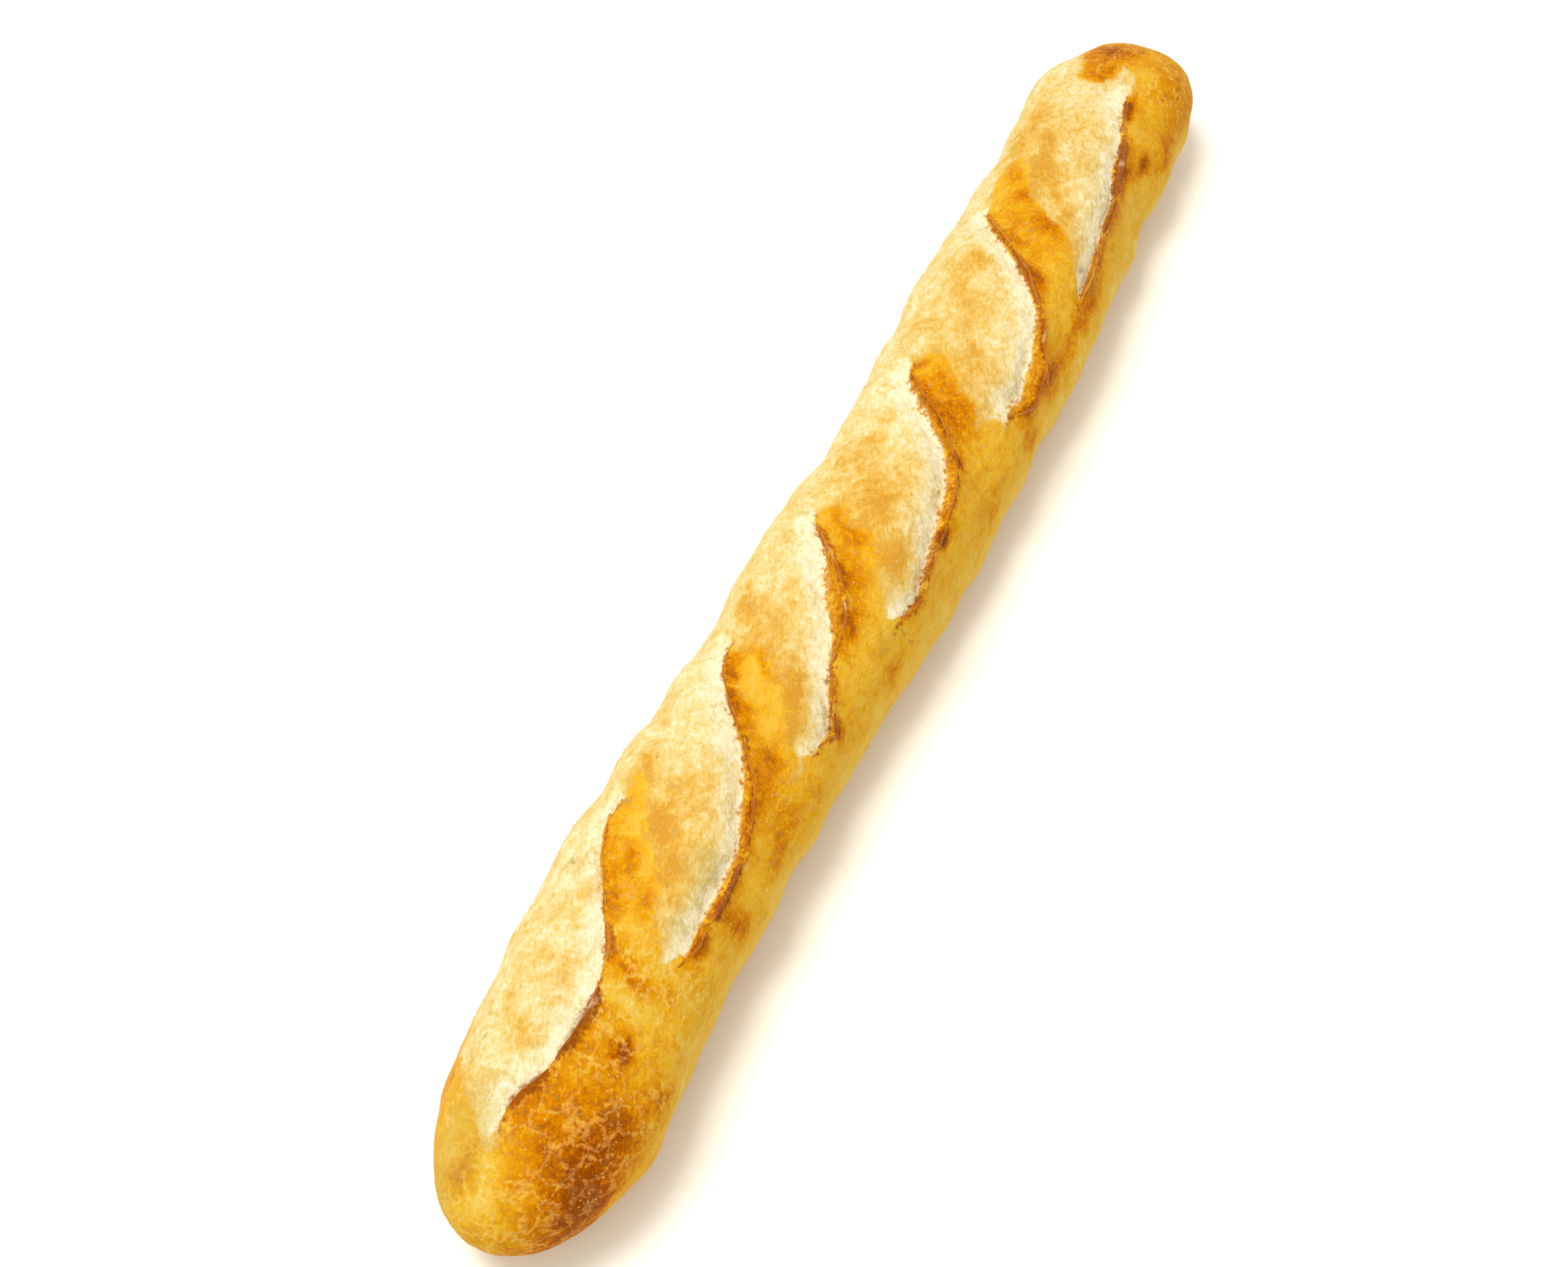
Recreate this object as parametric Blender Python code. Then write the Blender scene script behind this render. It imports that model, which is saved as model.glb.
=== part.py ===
"""Baguette: one long crusty loaf with six slanting slashes along its top.

The loaf lies along X on its flat underside, with the ground at Z = 0. Sizes are in metres.
Each slash leaves a raised lip on its lower border, a groove beside the lip, and a swollen
band beyond the groove, where the dough opened in the oven.

A place on the skin is given by x and by its girth distance: the distance walked round the
section from the crest, positive towards +Y.
"""

from collections import namedtuple
from math import acos, pi

import bmesh
import bpy
import numpy as np

# Overall size
LENGTH = 0.534
HEIGHT_TO_WIDTH = 0.84

# Rounded ends: length, bluntness (2 is an ellipse) and height of the tip as a share of the loaf's
Cap = namedtuple("Cap", "length power lift")
NEAR_CAP = Cap(0.052, 2.0, 0.47)
FAR_CAP = Cap(0.050, 2.12, 0.37)

# Hand-rolled course of the loaf
Station = namedtuple("Station", "x half_width shift")
STATIONS = (
    Station(-0.267, 0.0317, -0.0002),
    Station(-0.216, 0.0332, 0.0002),
    Station(-0.168, 0.0332, 0.0038),
    Station(-0.120, 0.0333, 0.0034),
    Station(-0.072, 0.0317, 0.0011),
    Station(-0.024, 0.0336, -0.0003),
    Station(0.024, 0.0326, -0.0023),
    Station(0.072, 0.0329, -0.0015),
    Station(0.120, 0.0337, -0.0009),
    Station(0.168, 0.0311, 0.0008),
    Station(0.216, 0.0311, 0.0027),
    Station(0.267, 0.0318, -0.0018),
)

# Shape of the section, in shares of its half width and height
WIDEST = 0.46  # height of the widest place
CROWN_POWER = 0.95
FLANK_POWER = 0.92
BELLY_DEPTH = 0.55  # how far the belly would reach down if the base did not cut it flat
BASE_ROUNDING = 0.045

# Slashes: each lip runs from near to far, low along the right flank and then up over the crest.
# Its torn inner face slopes down to the groove: tear is its greatest width, thin its least.
Slash = namedtuple("Slash", "near far low top turn hook lag sway tear tear_at tear_spread thin")
SLASHES = (
    Slash(-0.241, -0.134, -0.0037, 0.0181, 0.25, 0.0077, 1.69, -0.0019, 0.0014, 0.22, 0.12, 0.0008),
    Slash(-0.174, -0.068, -0.0253, 0.0175, 0.06, 0.0020, 1.92, -0.0009, 0.0038, 0.43, 0.28, 0.0010),
    Slash(-0.092, -0.012, -0.0274, 0.0172, 0.13, 0.0013, 1.28, 0.0071, 0.0052, 0.66, 0.17, 0.0010),
    Slash(-0.038, 0.060, -0.0308, 0.0149, 0.14, 0.0027, 1.67, 0.0050, 0.0046, 0.66, 0.27, 0.0009),
    Slash(0.055, 0.142, -0.0312, 0.0200, 0.16, 0.0055, 1.33, 0.0027, 0.0068, 0.25, 0.18, 0.0024),
    Slash(0.115, 0.218, -0.0287, -0.0093, 0.13, -0.0016, 1.26, 0.0023, 0.0028, 0.66, 0.12, 0.0009),
)

# Relief of a slash
LIP_RISE = 0.0025
LIP_WIDTH = 0.0042
LEAN = 0.0009  # how far the lip's edge hangs over the groove
LEAN_WIDTH = 0.0017
GROOVE_DEPTH = 0.0014
GROOVE_WIDTH = 0.0032
SWELL_RISE = 0.0018
SWELL_MIDDLE = 0.0130  # distance of the swelling's ridge from the lip's edge
SWELL_SPREAD = 0.0075
SWELL_START = 0.0050  # distance from the groove over which the swelling grows in
FADE_NEAR = 0.12  # share of a slash over which its relief grows in
FADE_FAR = 0.20

# Uneven skin
WAVE_COUNT = 14
WAVE_RISE = 0.00022
WAVE_SHORTEST = 0.018
WAVE_LONGEST = 0.060
WAVE_SEED = 7
CALM_BAND = 0.25  # share of the half girth, next to the base, where the relief dies away

# Mesh
BODY_ROWS = 128
CAP_ROWS = 15
BAND_FROM = -0.036  # the band round the crest that holds the slashes
BAND_TO = 0.027
BAND_STEP = 0.0045
FLANK_COLUMNS = 7
BASE_COLUMNS = 4
GROOVE_OFFSET_MOST = 0.0035  # the groove's column stays this close to the lip's
PULL_REACH = 3  # columns to each side of a lip that give way to it
SECTION_SAMPLES = 721
LIP_SAMPLES = 121
TINY = 1e-7

CRUST_COLOUR = (0.62, 0.33, 0.085, 1.0)
CRUST_ROUGHNESS = 0.55


def clear_scene():
    for scene_object in list(bpy.data.objects):
        bpy.data.objects.remove(scene_object, do_unlink=True)


def smooth_step(share):
    share = np.clip(share, 0.0, 1.0)
    return share * share * (3.0 - 2.0 * share)


def follow_stations(values, x):
    """A smooth curve through one value for each station, read at x."""
    places = np.array([station.x for station in STATIONS])
    slopes = np.gradient(values, places)
    index = int(np.clip(np.searchsorted(places, x) - 1, 0, len(places) - 2))
    span = places[index + 1] - places[index]
    share = (x - places[index]) / span
    blend = smooth_step(share)
    rise = share * (1.0 - share) ** 2
    fall = share**2 * (share - 1.0)
    return (
        values[index] * (1.0 - blend)
        + values[index + 1] * blend
        + span * (rise * slopes[index] + fall * slopes[index + 1])
    )


def half_width_at(x):
    return follow_stations([station.half_width for station in STATIONS], x)


def shift_at(x):
    return follow_stations([station.shift for station in STATIONS], x)


def cap_at(x):
    """Size of the section as a share, 1 along the body and 0 at the tips, and the cap's lift."""
    cap = NEAR_CAP if x < 0.0 else FAR_CAP
    depth = np.clip((abs(x) - LENGTH / 2 + cap.length) / cap.length, 0.0, 1.0)
    return (1.0 - depth**cap.power) ** (1.0 / cap.power), cap.lift


def upper_section(x):
    """Girth distances and (y, z) places from one edge of the flat base over the crest to the other."""
    flat_edge = pi - acos((WIDEST + BASE_ROUNDING) / BELLY_DEPTH)
    turn = np.linspace(-flat_edge, flat_edge, SECTION_SAMPLES)
    rise = np.cos(turn)
    crown = WIDEST + (1.0 - WIDEST) * np.abs(rise) ** CROWN_POWER
    belly = WIDEST - BELLY_DEPTH * np.abs(rise)
    share, lift = cap_at(x)
    half_width = half_width_at(x)
    height = 2.0 * half_width * HEIGHT_TO_WIDTH
    across = np.sign(turn) * np.abs(np.sin(turn)) ** FLANK_POWER
    up = np.where(rise > 0.0, crown, belly)
    rounded = (up + BASE_ROUNDING) ** 2 / (4.0 * BASE_ROUNDING)
    up = np.where(up < BASE_ROUNDING, rounded, up)
    raised = share * up + lift * (1.0 - share)
    places = np.column_stack((half_width * share * across, height * raised))
    steps = np.linalg.norm(np.diff(places, axis=0), axis=1)
    girth = np.concatenate(([0.0], np.cumsum(steps)))
    girth -= np.interp(0.0, turn, girth)
    places[:, 0] += shift_at(x)
    return girth, places


def share_at(slash, x):
    return (x - slash.near) / (slash.far - slash.near)


def lip_line(slash, x):
    """Girth distance of a slash's lip at x."""
    share = share_at(slash, x)
    climb = np.clip((share - slash.turn) / (1.0 - slash.turn), 0.0, 1.0)
    start = smooth_step((slash.turn - share) / slash.turn)
    return (
        slash.low
        + slash.hook * start
        + (slash.top - slash.low) * smooth_step(climb**slash.lag)
        + slash.sway * np.sin(2.0 * pi * climb)
    )


def distance_to_lip(slash, x, girth):
    """Distance from points of a ring to the lip, positive above it."""
    lip_x = np.linspace(slash.near, slash.far, LIP_SAMPLES)
    lip = np.column_stack((lip_x, lip_line(slash, lip_x)))
    spans = np.diff(lip, axis=0)
    points = np.column_stack((np.full_like(girth, x), girth))
    offsets = points[:, None, :] - lip[None, :-1, :]
    along = np.clip((offsets * spans).sum(axis=2) / (spans**2).sum(axis=1), 0.0, 1.0)
    distances = np.linalg.norm(offsets - along[:, :, None] * spans, axis=2).min(axis=1)
    above = girth > lip_line(slash, x) + TINY
    return np.where(above, 1.0, -1.0) * distances


def tear_width(slash, x):
    """Distance from the lip's edge down its torn face to the groove."""
    share = share_at(slash, x)
    widest = np.exp(-(((share - slash.tear_at) / slash.tear_spread) ** 2))
    return slash.thin + (slash.tear - slash.thin) * widest


def slash_relief(slash, x, girth):
    """Outward rise and sideways lean that one slash gives to points at x."""
    away = distance_to_lip(slash, x, girth)
    share = share_at(slash, x)
    strength = smooth_step(share / FADE_NEAR) * smooth_step((1.0 - share) / FADE_FAR)
    tear = tear_width(slash, x)
    lip = LIP_RISE * np.exp(-np.abs(away) / LIP_WIDTH)
    face = LIP_RISE - (LIP_RISE + GROOVE_DEPTH) * smooth_step(away / tear)
    past = away - tear
    groove = GROOVE_DEPTH * np.exp(-np.maximum(past, 0.0) / GROOVE_WIDTH)
    swell = SWELL_RISE * np.exp(-(((away - SWELL_MIDDLE) / SWELL_SPREAD) ** 2))
    swell *= smooth_step(past / SWELL_START)
    opening = np.where(past < 0.0, face, swell - groove)
    rise = strength * np.where(away < 0.0, lip, opening)
    lean = strength * np.where(away < 0.0, LEAN * np.exp(-np.abs(away) / LEAN_WIDTH), 0.0)
    return rise, lean


def skin_waves():
    """Directions, wavelengths and phases of the gentle waves all over the skin."""
    draw = np.random.default_rng(WAVE_SEED)
    lengths = draw.uniform(WAVE_SHORTEST, WAVE_LONGEST, WAVE_COUNT)
    headings = draw.uniform(0.0, pi, WAVE_COUNT)
    phases = draw.uniform(0.0, 2.0 * pi, WAVE_COUNT)
    return list(zip(lengths, headings, phases))


def wave_relief(waves, x, girth):
    rise = np.zeros_like(girth)
    for length, heading, phase in waves:
        run = x * np.cos(heading) + girth * np.sin(heading)
        rise += WAVE_RISE * np.sin(2.0 * pi * run / length + phase)
    share, _ = cap_at(x)
    return rise * share


def row_places():
    """Places of the rings along X, closer together round the caps."""
    near = -LENGTH / 2 + NEAR_CAP.length
    far = LENGTH / 2 - FAR_CAP.length
    angles = np.linspace(0.0, pi / 2, CAP_ROWS + 1)[1:]
    near_cap = near - NEAR_CAP.length * np.cos(angles)
    body = np.linspace(near, far, BODY_ROWS + 1)[1:]
    far_cap = far + FAR_CAP.length * np.cos(angles[::-1])
    return np.concatenate((near_cap, body, far_cap[1:]))


def even_columns(half_girth):
    """Girth distances of one ring's columns before the lips pull on them."""
    band = np.arange(BAND_FROM, BAND_TO + BAND_STEP / 2, BAND_STEP)
    reference = half_girth_at_middle()
    right = np.linspace(-reference, BAND_FROM, FLANK_COLUMNS + 1)[:-1]
    left = np.linspace(BAND_TO, reference, FLANK_COLUMNS + 1)[1:]
    return np.concatenate((right, band, left)) * half_girth / reference


def half_girth_at_middle():
    girth, _ = upper_section(0.0)
    return girth[-1]


def pull_columns(columns, x):
    """Put one column on each lip and the next in its groove. Also gives the lips' column numbers."""
    pulls = {0: 0.0, len(columns) - 1: 0.0}
    lips = {}
    for number, slash in enumerate(SLASHES):
        if slash.near < x < slash.far:
            lips[number] = int(np.argmin(np.abs(columns - lip_line(slash, x))))
    for index in lips.values():
        pulls[index - PULL_REACH] = 0.0
        pulls[index + 1 + PULL_REACH] = 0.0
    for number, index in lips.items():
        slash = SLASHES[number]
        edge = lip_line(slash, x)
        groove = edge + min(tear_width(slash, x), GROOVE_OFFSET_MOST)
        pulls[index] = edge - columns[index]
        pulls[index + 1] = groove - columns[index + 1]
    order = sorted(pulls)
    pull = np.interp(np.arange(len(columns)), order, [pulls[index] for index in order])
    return columns + pull, lips


def ring(x, waves):
    """Points of one ring, and the column numbers of the lips that cross it."""
    girth, places = upper_section(x)
    columns, lips = pull_columns(even_columns(girth[-1]), x)
    y = np.interp(columns, girth, places[:, 0])
    z = np.interp(columns, girth, places[:, 1])
    tangent_y = np.interp(columns, girth, np.gradient(places[:, 0], girth))
    tangent_z = np.interp(columns, girth, np.gradient(places[:, 1], girth))
    size = np.hypot(tangent_y, tangent_z)
    tangent_y, tangent_z = tangent_y / size, tangent_z / size
    rise = wave_relief(waves, x, columns)
    lean = np.zeros_like(columns)
    for slash in SLASHES:
        slash_rise, slash_lean = slash_relief(slash, x, columns)
        rise += slash_rise
        lean += slash_lean
    to_base = 1.0 - np.abs(columns) / girth[-1]
    rise *= smooth_step(to_base / CALM_BAND)
    y = y - tangent_z * rise + tangent_y * lean
    z = z + tangent_y * rise + tangent_z * lean
    base_y = np.linspace(y[-1], y[0], BASE_COLUMNS + 1)[1:-1]
    base_z = np.full(BASE_COLUMNS - 1, z[0])
    ring_y = np.concatenate((y, base_y))
    ring_z = np.concatenate((z, base_z))
    return np.column_stack((np.full(len(ring_y), x), ring_y, ring_z)), lips


def leans_back(column, lips, next_lips):
    """True where a lip steps down a column, so that the diagonal has to follow it."""
    for number, index in lips.items():
        step = next_lips.get(number, index) - index
        if step < 0 and index - PULL_REACH <= column <= index + PULL_REACH:
            return True
    return False


def build_loaf(waves):
    bm = bmesh.new()
    rings = []
    for x in row_places():
        points, lips = ring(x, waves)
        rings.append(([bm.verts.new(point) for point in points], lips))
    for (verts, lips), (next_verts, next_lips) in zip(rings, rings[1:]):
        count = len(verts)
        for column in range(count):
            beside = (column + 1) % count
            corners = (verts[column], next_verts[column], next_verts[beside], verts[beside])
            if leans_back(column, lips, next_lips):
                corners = corners[1:] + corners[:1]
            bm.faces.new((corners[0], corners[1], corners[2]))
            bm.faces.new((corners[0], corners[2], corners[3]))
    close_tip(bm, rings[0][0], -1.0)
    close_tip(bm, rings[-1][0], 1.0)
    return bm


def close_tip(bm, verts, side):
    """A fan from the tip to the last ring."""
    x = side * LENGTH / 2
    _, lift = cap_at(x)
    height = 2.0 * half_width_at(x) * HEIGHT_TO_WIDTH
    tip = bm.verts.new((x, shift_at(x), lift * height))
    for index, vert in enumerate(verts):
        following = verts[(index + 1) % len(verts)]
        bm.faces.new((tip, vert, following) if side < 0.0 else (tip, following, vert))


def centre_footprint(bm):
    """Move the loaf sideways so that its footprint is centred on Y = 0."""
    places = [vert.co.y for vert in bm.verts]
    middle = (min(places) + max(places)) / 2
    for vert in bm.verts:
        vert.co.y -= middle


def crust_material():
    material = bpy.data.materials.new("baked_crust")
    material.use_nodes = True
    shader = material.node_tree.nodes["Principled BSDF"]
    shader.inputs["Base Color"].default_value = CRUST_COLOUR
    shader.inputs["Roughness"].default_value = CRUST_ROUGHNESS
    shader.inputs["Metallic"].default_value = 0.0
    return material


def make_baguette():
    bm = build_loaf(skin_waves())
    centre_footprint(bm)
    mesh = bpy.data.meshes.new("baguette")
    bm.to_mesh(mesh)
    bm.free()
    mesh.shade_smooth()
    mesh.set_sharp_from_angle(angle=pi / 4)
    mesh.materials.append(crust_material())
    baguette = bpy.data.objects.new("baguette", mesh)
    bpy.context.scene.collection.objects.link(baguette)
    return baguette


def main():
    clear_scene()
    make_baguette()


main()
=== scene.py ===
import math

import bpy
import numpy as np
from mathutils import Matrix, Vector


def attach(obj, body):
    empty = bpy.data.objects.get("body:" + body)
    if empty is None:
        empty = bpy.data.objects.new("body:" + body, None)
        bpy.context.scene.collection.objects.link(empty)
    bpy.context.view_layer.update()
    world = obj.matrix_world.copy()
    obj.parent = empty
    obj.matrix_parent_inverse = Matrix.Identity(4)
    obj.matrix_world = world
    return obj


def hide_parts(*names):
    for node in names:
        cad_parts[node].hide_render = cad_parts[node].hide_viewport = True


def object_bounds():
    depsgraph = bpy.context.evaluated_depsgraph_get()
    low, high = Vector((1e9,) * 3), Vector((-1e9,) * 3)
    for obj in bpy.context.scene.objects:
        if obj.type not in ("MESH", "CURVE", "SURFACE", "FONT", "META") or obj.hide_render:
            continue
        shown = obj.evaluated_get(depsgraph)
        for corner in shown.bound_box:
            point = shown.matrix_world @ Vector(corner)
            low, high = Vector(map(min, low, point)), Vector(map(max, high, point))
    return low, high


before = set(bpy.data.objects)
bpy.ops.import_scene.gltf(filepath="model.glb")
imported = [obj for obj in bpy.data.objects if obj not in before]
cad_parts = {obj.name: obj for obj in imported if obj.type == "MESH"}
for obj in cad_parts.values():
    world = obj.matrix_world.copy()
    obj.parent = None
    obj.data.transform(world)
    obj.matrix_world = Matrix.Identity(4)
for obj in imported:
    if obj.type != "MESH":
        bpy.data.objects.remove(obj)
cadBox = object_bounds()
print("frame loaded:", ", ".join(sorted(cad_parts)))

mm = 0.001


def linear(hexColour):  # sRGB hex to the linear colour that the nodes take
    channels = [int(hexColour[i:i + 2], 16) / 255 for i in (1, 3, 5)]
    return [c / 12.92 if c <= 0.04045 else ((c + 0.055) / 1.055) ** 2.4 for c in channels] + [1.0]


def setNode(tree, node, entries):  # sets or links each entry; a node stands for its first output
    for name, entry in entries.items():
        source = getattr(entry, "outputs", [entry])[0]
        if isinstance(source, bpy.types.NodeSocket):
            tree.links.new(source, node.inputs[name])
        elif isinstance(name, str) and hasattr(node, name):
            setattr(node, name, entry)
        else:
            node.inputs[name].default_value = entry
    return node


def addNode(tree, kind, entries=None):
    return setNode(tree, tree.nodes.new(kind), entries or {})


def newTree(name, sizes, painted):  # a geometry tree; sizes named with a capital become its inputs
    tree = bpy.data.node_groups.new(name, "GeometryNodeTree")
    tree.interface.new_socket("Geometry", in_out="OUTPUT", socket_type="NodeSocketGeometry")
    inputs = {"Geometry": "Geometry", **{size: "Float" for size in sizes if size[0].isupper()}}
    for socket, kind in {**inputs, "Material": "Material"}.items():
        tree.interface.new_socket(socket, in_out="INPUT", socket_type="NodeSocket" + kind)
    found = dict(addNode(tree, "NodeGroupInput").outputs.items())
    for value in painted:
        found[value] = addNode(tree, "GeometryNodeInputNamedAttribute", {"data_type": "FLOAT", "Name": value})
    return tree, found


def closeTree(tree, geometry, found):  # every tree ends in plain geometry with its material on
    realized = addNode(tree, "GeometryNodeRealizeInstances", {"Geometry": geometry})
    dressed = addNode(tree, "GeometryNodeSetMaterial", {"Geometry": realized, "Material": found["Material"]})
    addNode(tree, "NodeGroupOutput", {"Geometry": dressed})


def growNodes(thing, tree, values):  # run a tree on an object and keep the result as its plain mesh
    modifier = thing.modifiers.new(tree.name, "NODES")
    modifier.node_group = tree
    for socket in tree.interface.items_tree:
        if socket.in_out == "INPUT" and socket.name in values:
            modifier[socket.identifier] = values[socket.name]
    graph = bpy.context.evaluated_depsgraph_get()
    grown = bpy.data.meshes.new_from_object(thing.evaluated_get(graph), depsgraph=graph)
    thing.modifiers.remove(modifier)
    thing.data = grown
    thing.data.name = thing.name
    return thing


def newObject(name, data):
    thing = bpy.data.objects.new(name, data)
    bpy.context.scene.collection.objects.link(thing)
    return thing


def setStops(node, stops):  # colour stops of a ramp, from (place, hex) pairs
    ramp = node.color_ramp
    while len(ramp.elements) < len(stops):
        ramp.elements.new(0.5)
    for element, (place, colour) in zip(ramp.elements, stops):
        element.position = place
        element.color = linear(colour)
    return node


def smoothStep(share):
    share = np.clip(share, 0.0, 1.0)
    return share * share * (3.0 - 2.0 * share)


def growing(place, amount, start, span):  # reaches its amount over a span, which may run backwards
    return amount * smoothStep((place - start) / span)


def taper(place, first, last, firstSpan, lastSpan, atEnds=0.0):  # 1 along a stretch, less at both of its ends
    return smoothStep((place - first) / firstSpan + atEnds) * smoothStep((last - place) / lastSpan + atEnds)


def bell(offset, width):
    return np.exp(-((offset / width) ** 2))


def softNoise(points, size, seed, octaves=3, cells=32):  # smooth noise about 0, from a lattice of its seed
    draw = np.random.default_rng(seed)
    total = np.zeros(len(points))
    for octave in range(octaves):
        lattice = draw.uniform(-1.0, 1.0, (cells, cells, cells))
        place = points / size * 2.0**octave
        cell = np.floor(place).astype(int)
        blend = smoothStep(place - cell)
        for corner in np.ndindex(2, 2, 2):
            weight = np.prod(np.where(corner, blend, 1.0 - blend), axis=1)
            total += weight * lattice[tuple(((cell + corner) % cells).T)] / 2.0**octave
    return total


# The loaf's form repeats the solid's, and adds finer rings and relief.
loaf = {
    "length": round(cadBox[1][0] - cadBox[0][0], 4),
    "heightToWidth": 0.84,
    "nearCap": (0.052, 2.0, 0.47),  # length, bluntness, height of the tip as a share
    "farCap": (0.050, 2.12, 0.37),
    "widest": 0.46,
    "crownPower": 0.95,
    "flankPower": 0.92,
    "bellyDepth": 0.55,
    "baseRounding": 0.045,
    "sectionSteps": 721,
    "stations": [  # x, half width, sideways shift
        (-0.267, 0.0317, -0.0002),
        (-0.216, 0.0332, 0.0002),
        (-0.168, 0.0332, 0.0038),
        (-0.120, 0.0333, 0.0034),
        (-0.072, 0.0317, 0.0011),
        (-0.024, 0.0336, -0.0003),
        (0.024, 0.0326, -0.0023),
        (0.072, 0.0329, -0.0015),
        (0.120, 0.0337, -0.0009),
        (0.168, 0.0311, 0.0008),
        (0.216, 0.0311, 0.0027),
        (0.267, 0.0318, -0.0018),
    ],
    "bodyRows": 570,
    "capRows": 60,
    "bandFrom": -0.046,  # fine columns lie between these girth distances
    "bandTo": 0.040,
    "bandStep": 0.00105,
    "flankColumns": 17,
    "baseColumns": 12,
    "pullReach": 5,  # columns on each side that follow the one on a lip
    "waveCount": 14,
    "waveRise": 0.00022,
    "waveSizes": (0.018, 0.060),
    "waveSeed": 7,
    "calmBand": 0.25,  # the relief ends softly over this share of the girth beside the underside
}

slashKeys = "near far low top turn hook lag sway tear tearAt tearSpread thin".split()
slashes = [
    dict(zip(slashKeys, values))
    for values in (
        (-0.241, -0.134, -0.0037, 0.0181, 0.25, 0.0077, 1.69, -0.0019, 0.0014, 0.22, 0.12, 0.0008),
        (-0.174, -0.068, -0.0253, 0.0175, 0.06, 0.0020, 1.92, -0.0009, 0.0038, 0.43, 0.28, 0.0010),
        (-0.092, -0.012, -0.0274, 0.0172, 0.13, 0.0013, 1.28, 0.0071, 0.0052, 0.66, 0.17, 0.0010),
        (-0.038, 0.060, -0.0308, 0.0149, 0.14, 0.0027, 1.67, 0.0050, 0.0046, 0.66, 0.27, 0.0009),
        (0.055, 0.142, -0.0312, 0.0200, 0.16, 0.0055, 1.33, 0.0027, 0.0068, 0.25, 0.18, 0.0024),
        (0.115, 0.218, -0.0287, -0.0093, 0.13, -0.0016, 1.26, 0.0023, 0.0028, 0.66, 0.12, 0.0009),
    )
]

lipRelief = {
    "wander": 0.0005,  # a lip strays by so much from its even line
    "wanderSize": 0.009,
    "wanderStep": 0.0003,
    "wanderPast": 0.02,
    "wanderShift": 0.37,  # each seed reads a line of its own in the noise
    "lipSpans": 160,
    "leastTear": 0.3,
    "tearVariation": 0.35,
    "riseVariation": 0.35,
    "rise": 0.0025,
    "width": 0.0042,
    "lean": 0.0009,
    "leanWidth": 0.0017,
    "grooveDepth": 0.0007,  # a little shallower than the solid's, because the dough relief comes on top
    "grooveWidth": 0.0042,
    "swellRise": 0.0018,
    "swellMiddle": 0.0130,
    "swellSpread": 0.0075,
    "swellStart": 0.0050,
    "fadeNear": 0.12,
    "fadeFar": 0.20,
}


def followStations(column, x):  # cubic curve through one column of the stations
    table = np.array(loaf["stations"])
    places, values = table[:, 0], table[:, column]
    slopes = np.gradient(values, places)
    index = int(np.clip(np.searchsorted(places, x) - 1, 0, len(places) - 2))
    span = places[index + 1] - places[index]
    share = (x - places[index]) / span
    blend = smoothStep(share)
    tangents = share * (1 - share) ** 2 * slopes[index] + share**2 * (share - 1) * slopes[index + 1]
    return values[index] * (1 - blend) + values[index + 1] * blend + span * tangents


def capAt(x):
    length, power, lift = loaf["nearCap"] if x < 0 else loaf["farCap"]
    depth = np.clip((abs(x) - loaf["length"] / 2 + length) / length, 0.0, 1.0)
    return (1.0 - depth**power) ** (1.0 / power), lift


def upperSection(x):  # girth distances and (y, z) places over the crest, base edge to base edge
    rounding, widest = loaf["baseRounding"], loaf["widest"]
    flatEdge = math.pi - math.acos((widest + rounding) / loaf["bellyDepth"])
    turn = np.linspace(-flatEdge, flatEdge, loaf["sectionSteps"])
    rise = np.cos(turn)
    crown = widest + (1 - widest) * np.abs(rise) ** loaf["crownPower"]
    up = np.where(rise > 0, crown, widest - loaf["bellyDepth"] * np.abs(rise))
    up = np.where(up < rounding, (up + rounding) ** 2 / (4 * rounding), up)
    share, lift = capAt(x)
    halfWidth = followStations(1, x)
    across = np.sign(turn) * np.abs(np.sin(turn)) ** loaf["flankPower"]
    raised = share * up + lift * (1 - share)
    places = np.column_stack((halfWidth * share * across, 2 * halfWidth * loaf["heightToWidth"] * raised))
    steps = np.linalg.norm(np.diff(places, axis=0), axis=1)
    girth = np.concatenate(([0.0], np.cumsum(steps)))
    girth -= np.interp(0.0, turn, girth)
    places[:, 0] += followStations(2, x)
    return girth, places


def strayAlong(slash, seed):  # a table of smooth noise along a lip, read with np.interp
    past = lipRelief["wanderPast"]
    x = np.arange(slash["near"] - past, slash["far"] + past, lipRelief["wanderStep"])
    place = np.column_stack((x, np.full(len(x), lipRelief["wanderShift"] * seed), np.zeros(len(x))))
    return x, softNoise(place, lipRelief["wanderSize"], seed)


for number, slash in enumerate(slashes):
    for kind, seed in (("stray", 21), ("tearStray", 31), ("riseStray", 41)):
        slash[kind] = strayAlong(slash, seed + number)


def shareAt(slash, x):
    return (x - slash["near"]) / (slash["far"] - slash["near"])


def lipLine(slash, x):  # girth distance of a lip at x
    share = shareAt(slash, x)
    climb = np.clip((share - slash["turn"]) / (1 - slash["turn"]), 0.0, 1.0)
    start = smoothStep((slash["turn"] - share) / slash["turn"])
    line = slash["low"] + slash["hook"] * start + slash["sway"] * np.sin(2 * math.pi * climb)
    line = line + lipRelief["wander"] * np.interp(x, *slash["stray"])
    return line + (slash["top"] - slash["low"]) * smoothStep(climb ** slash["lag"])


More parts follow.
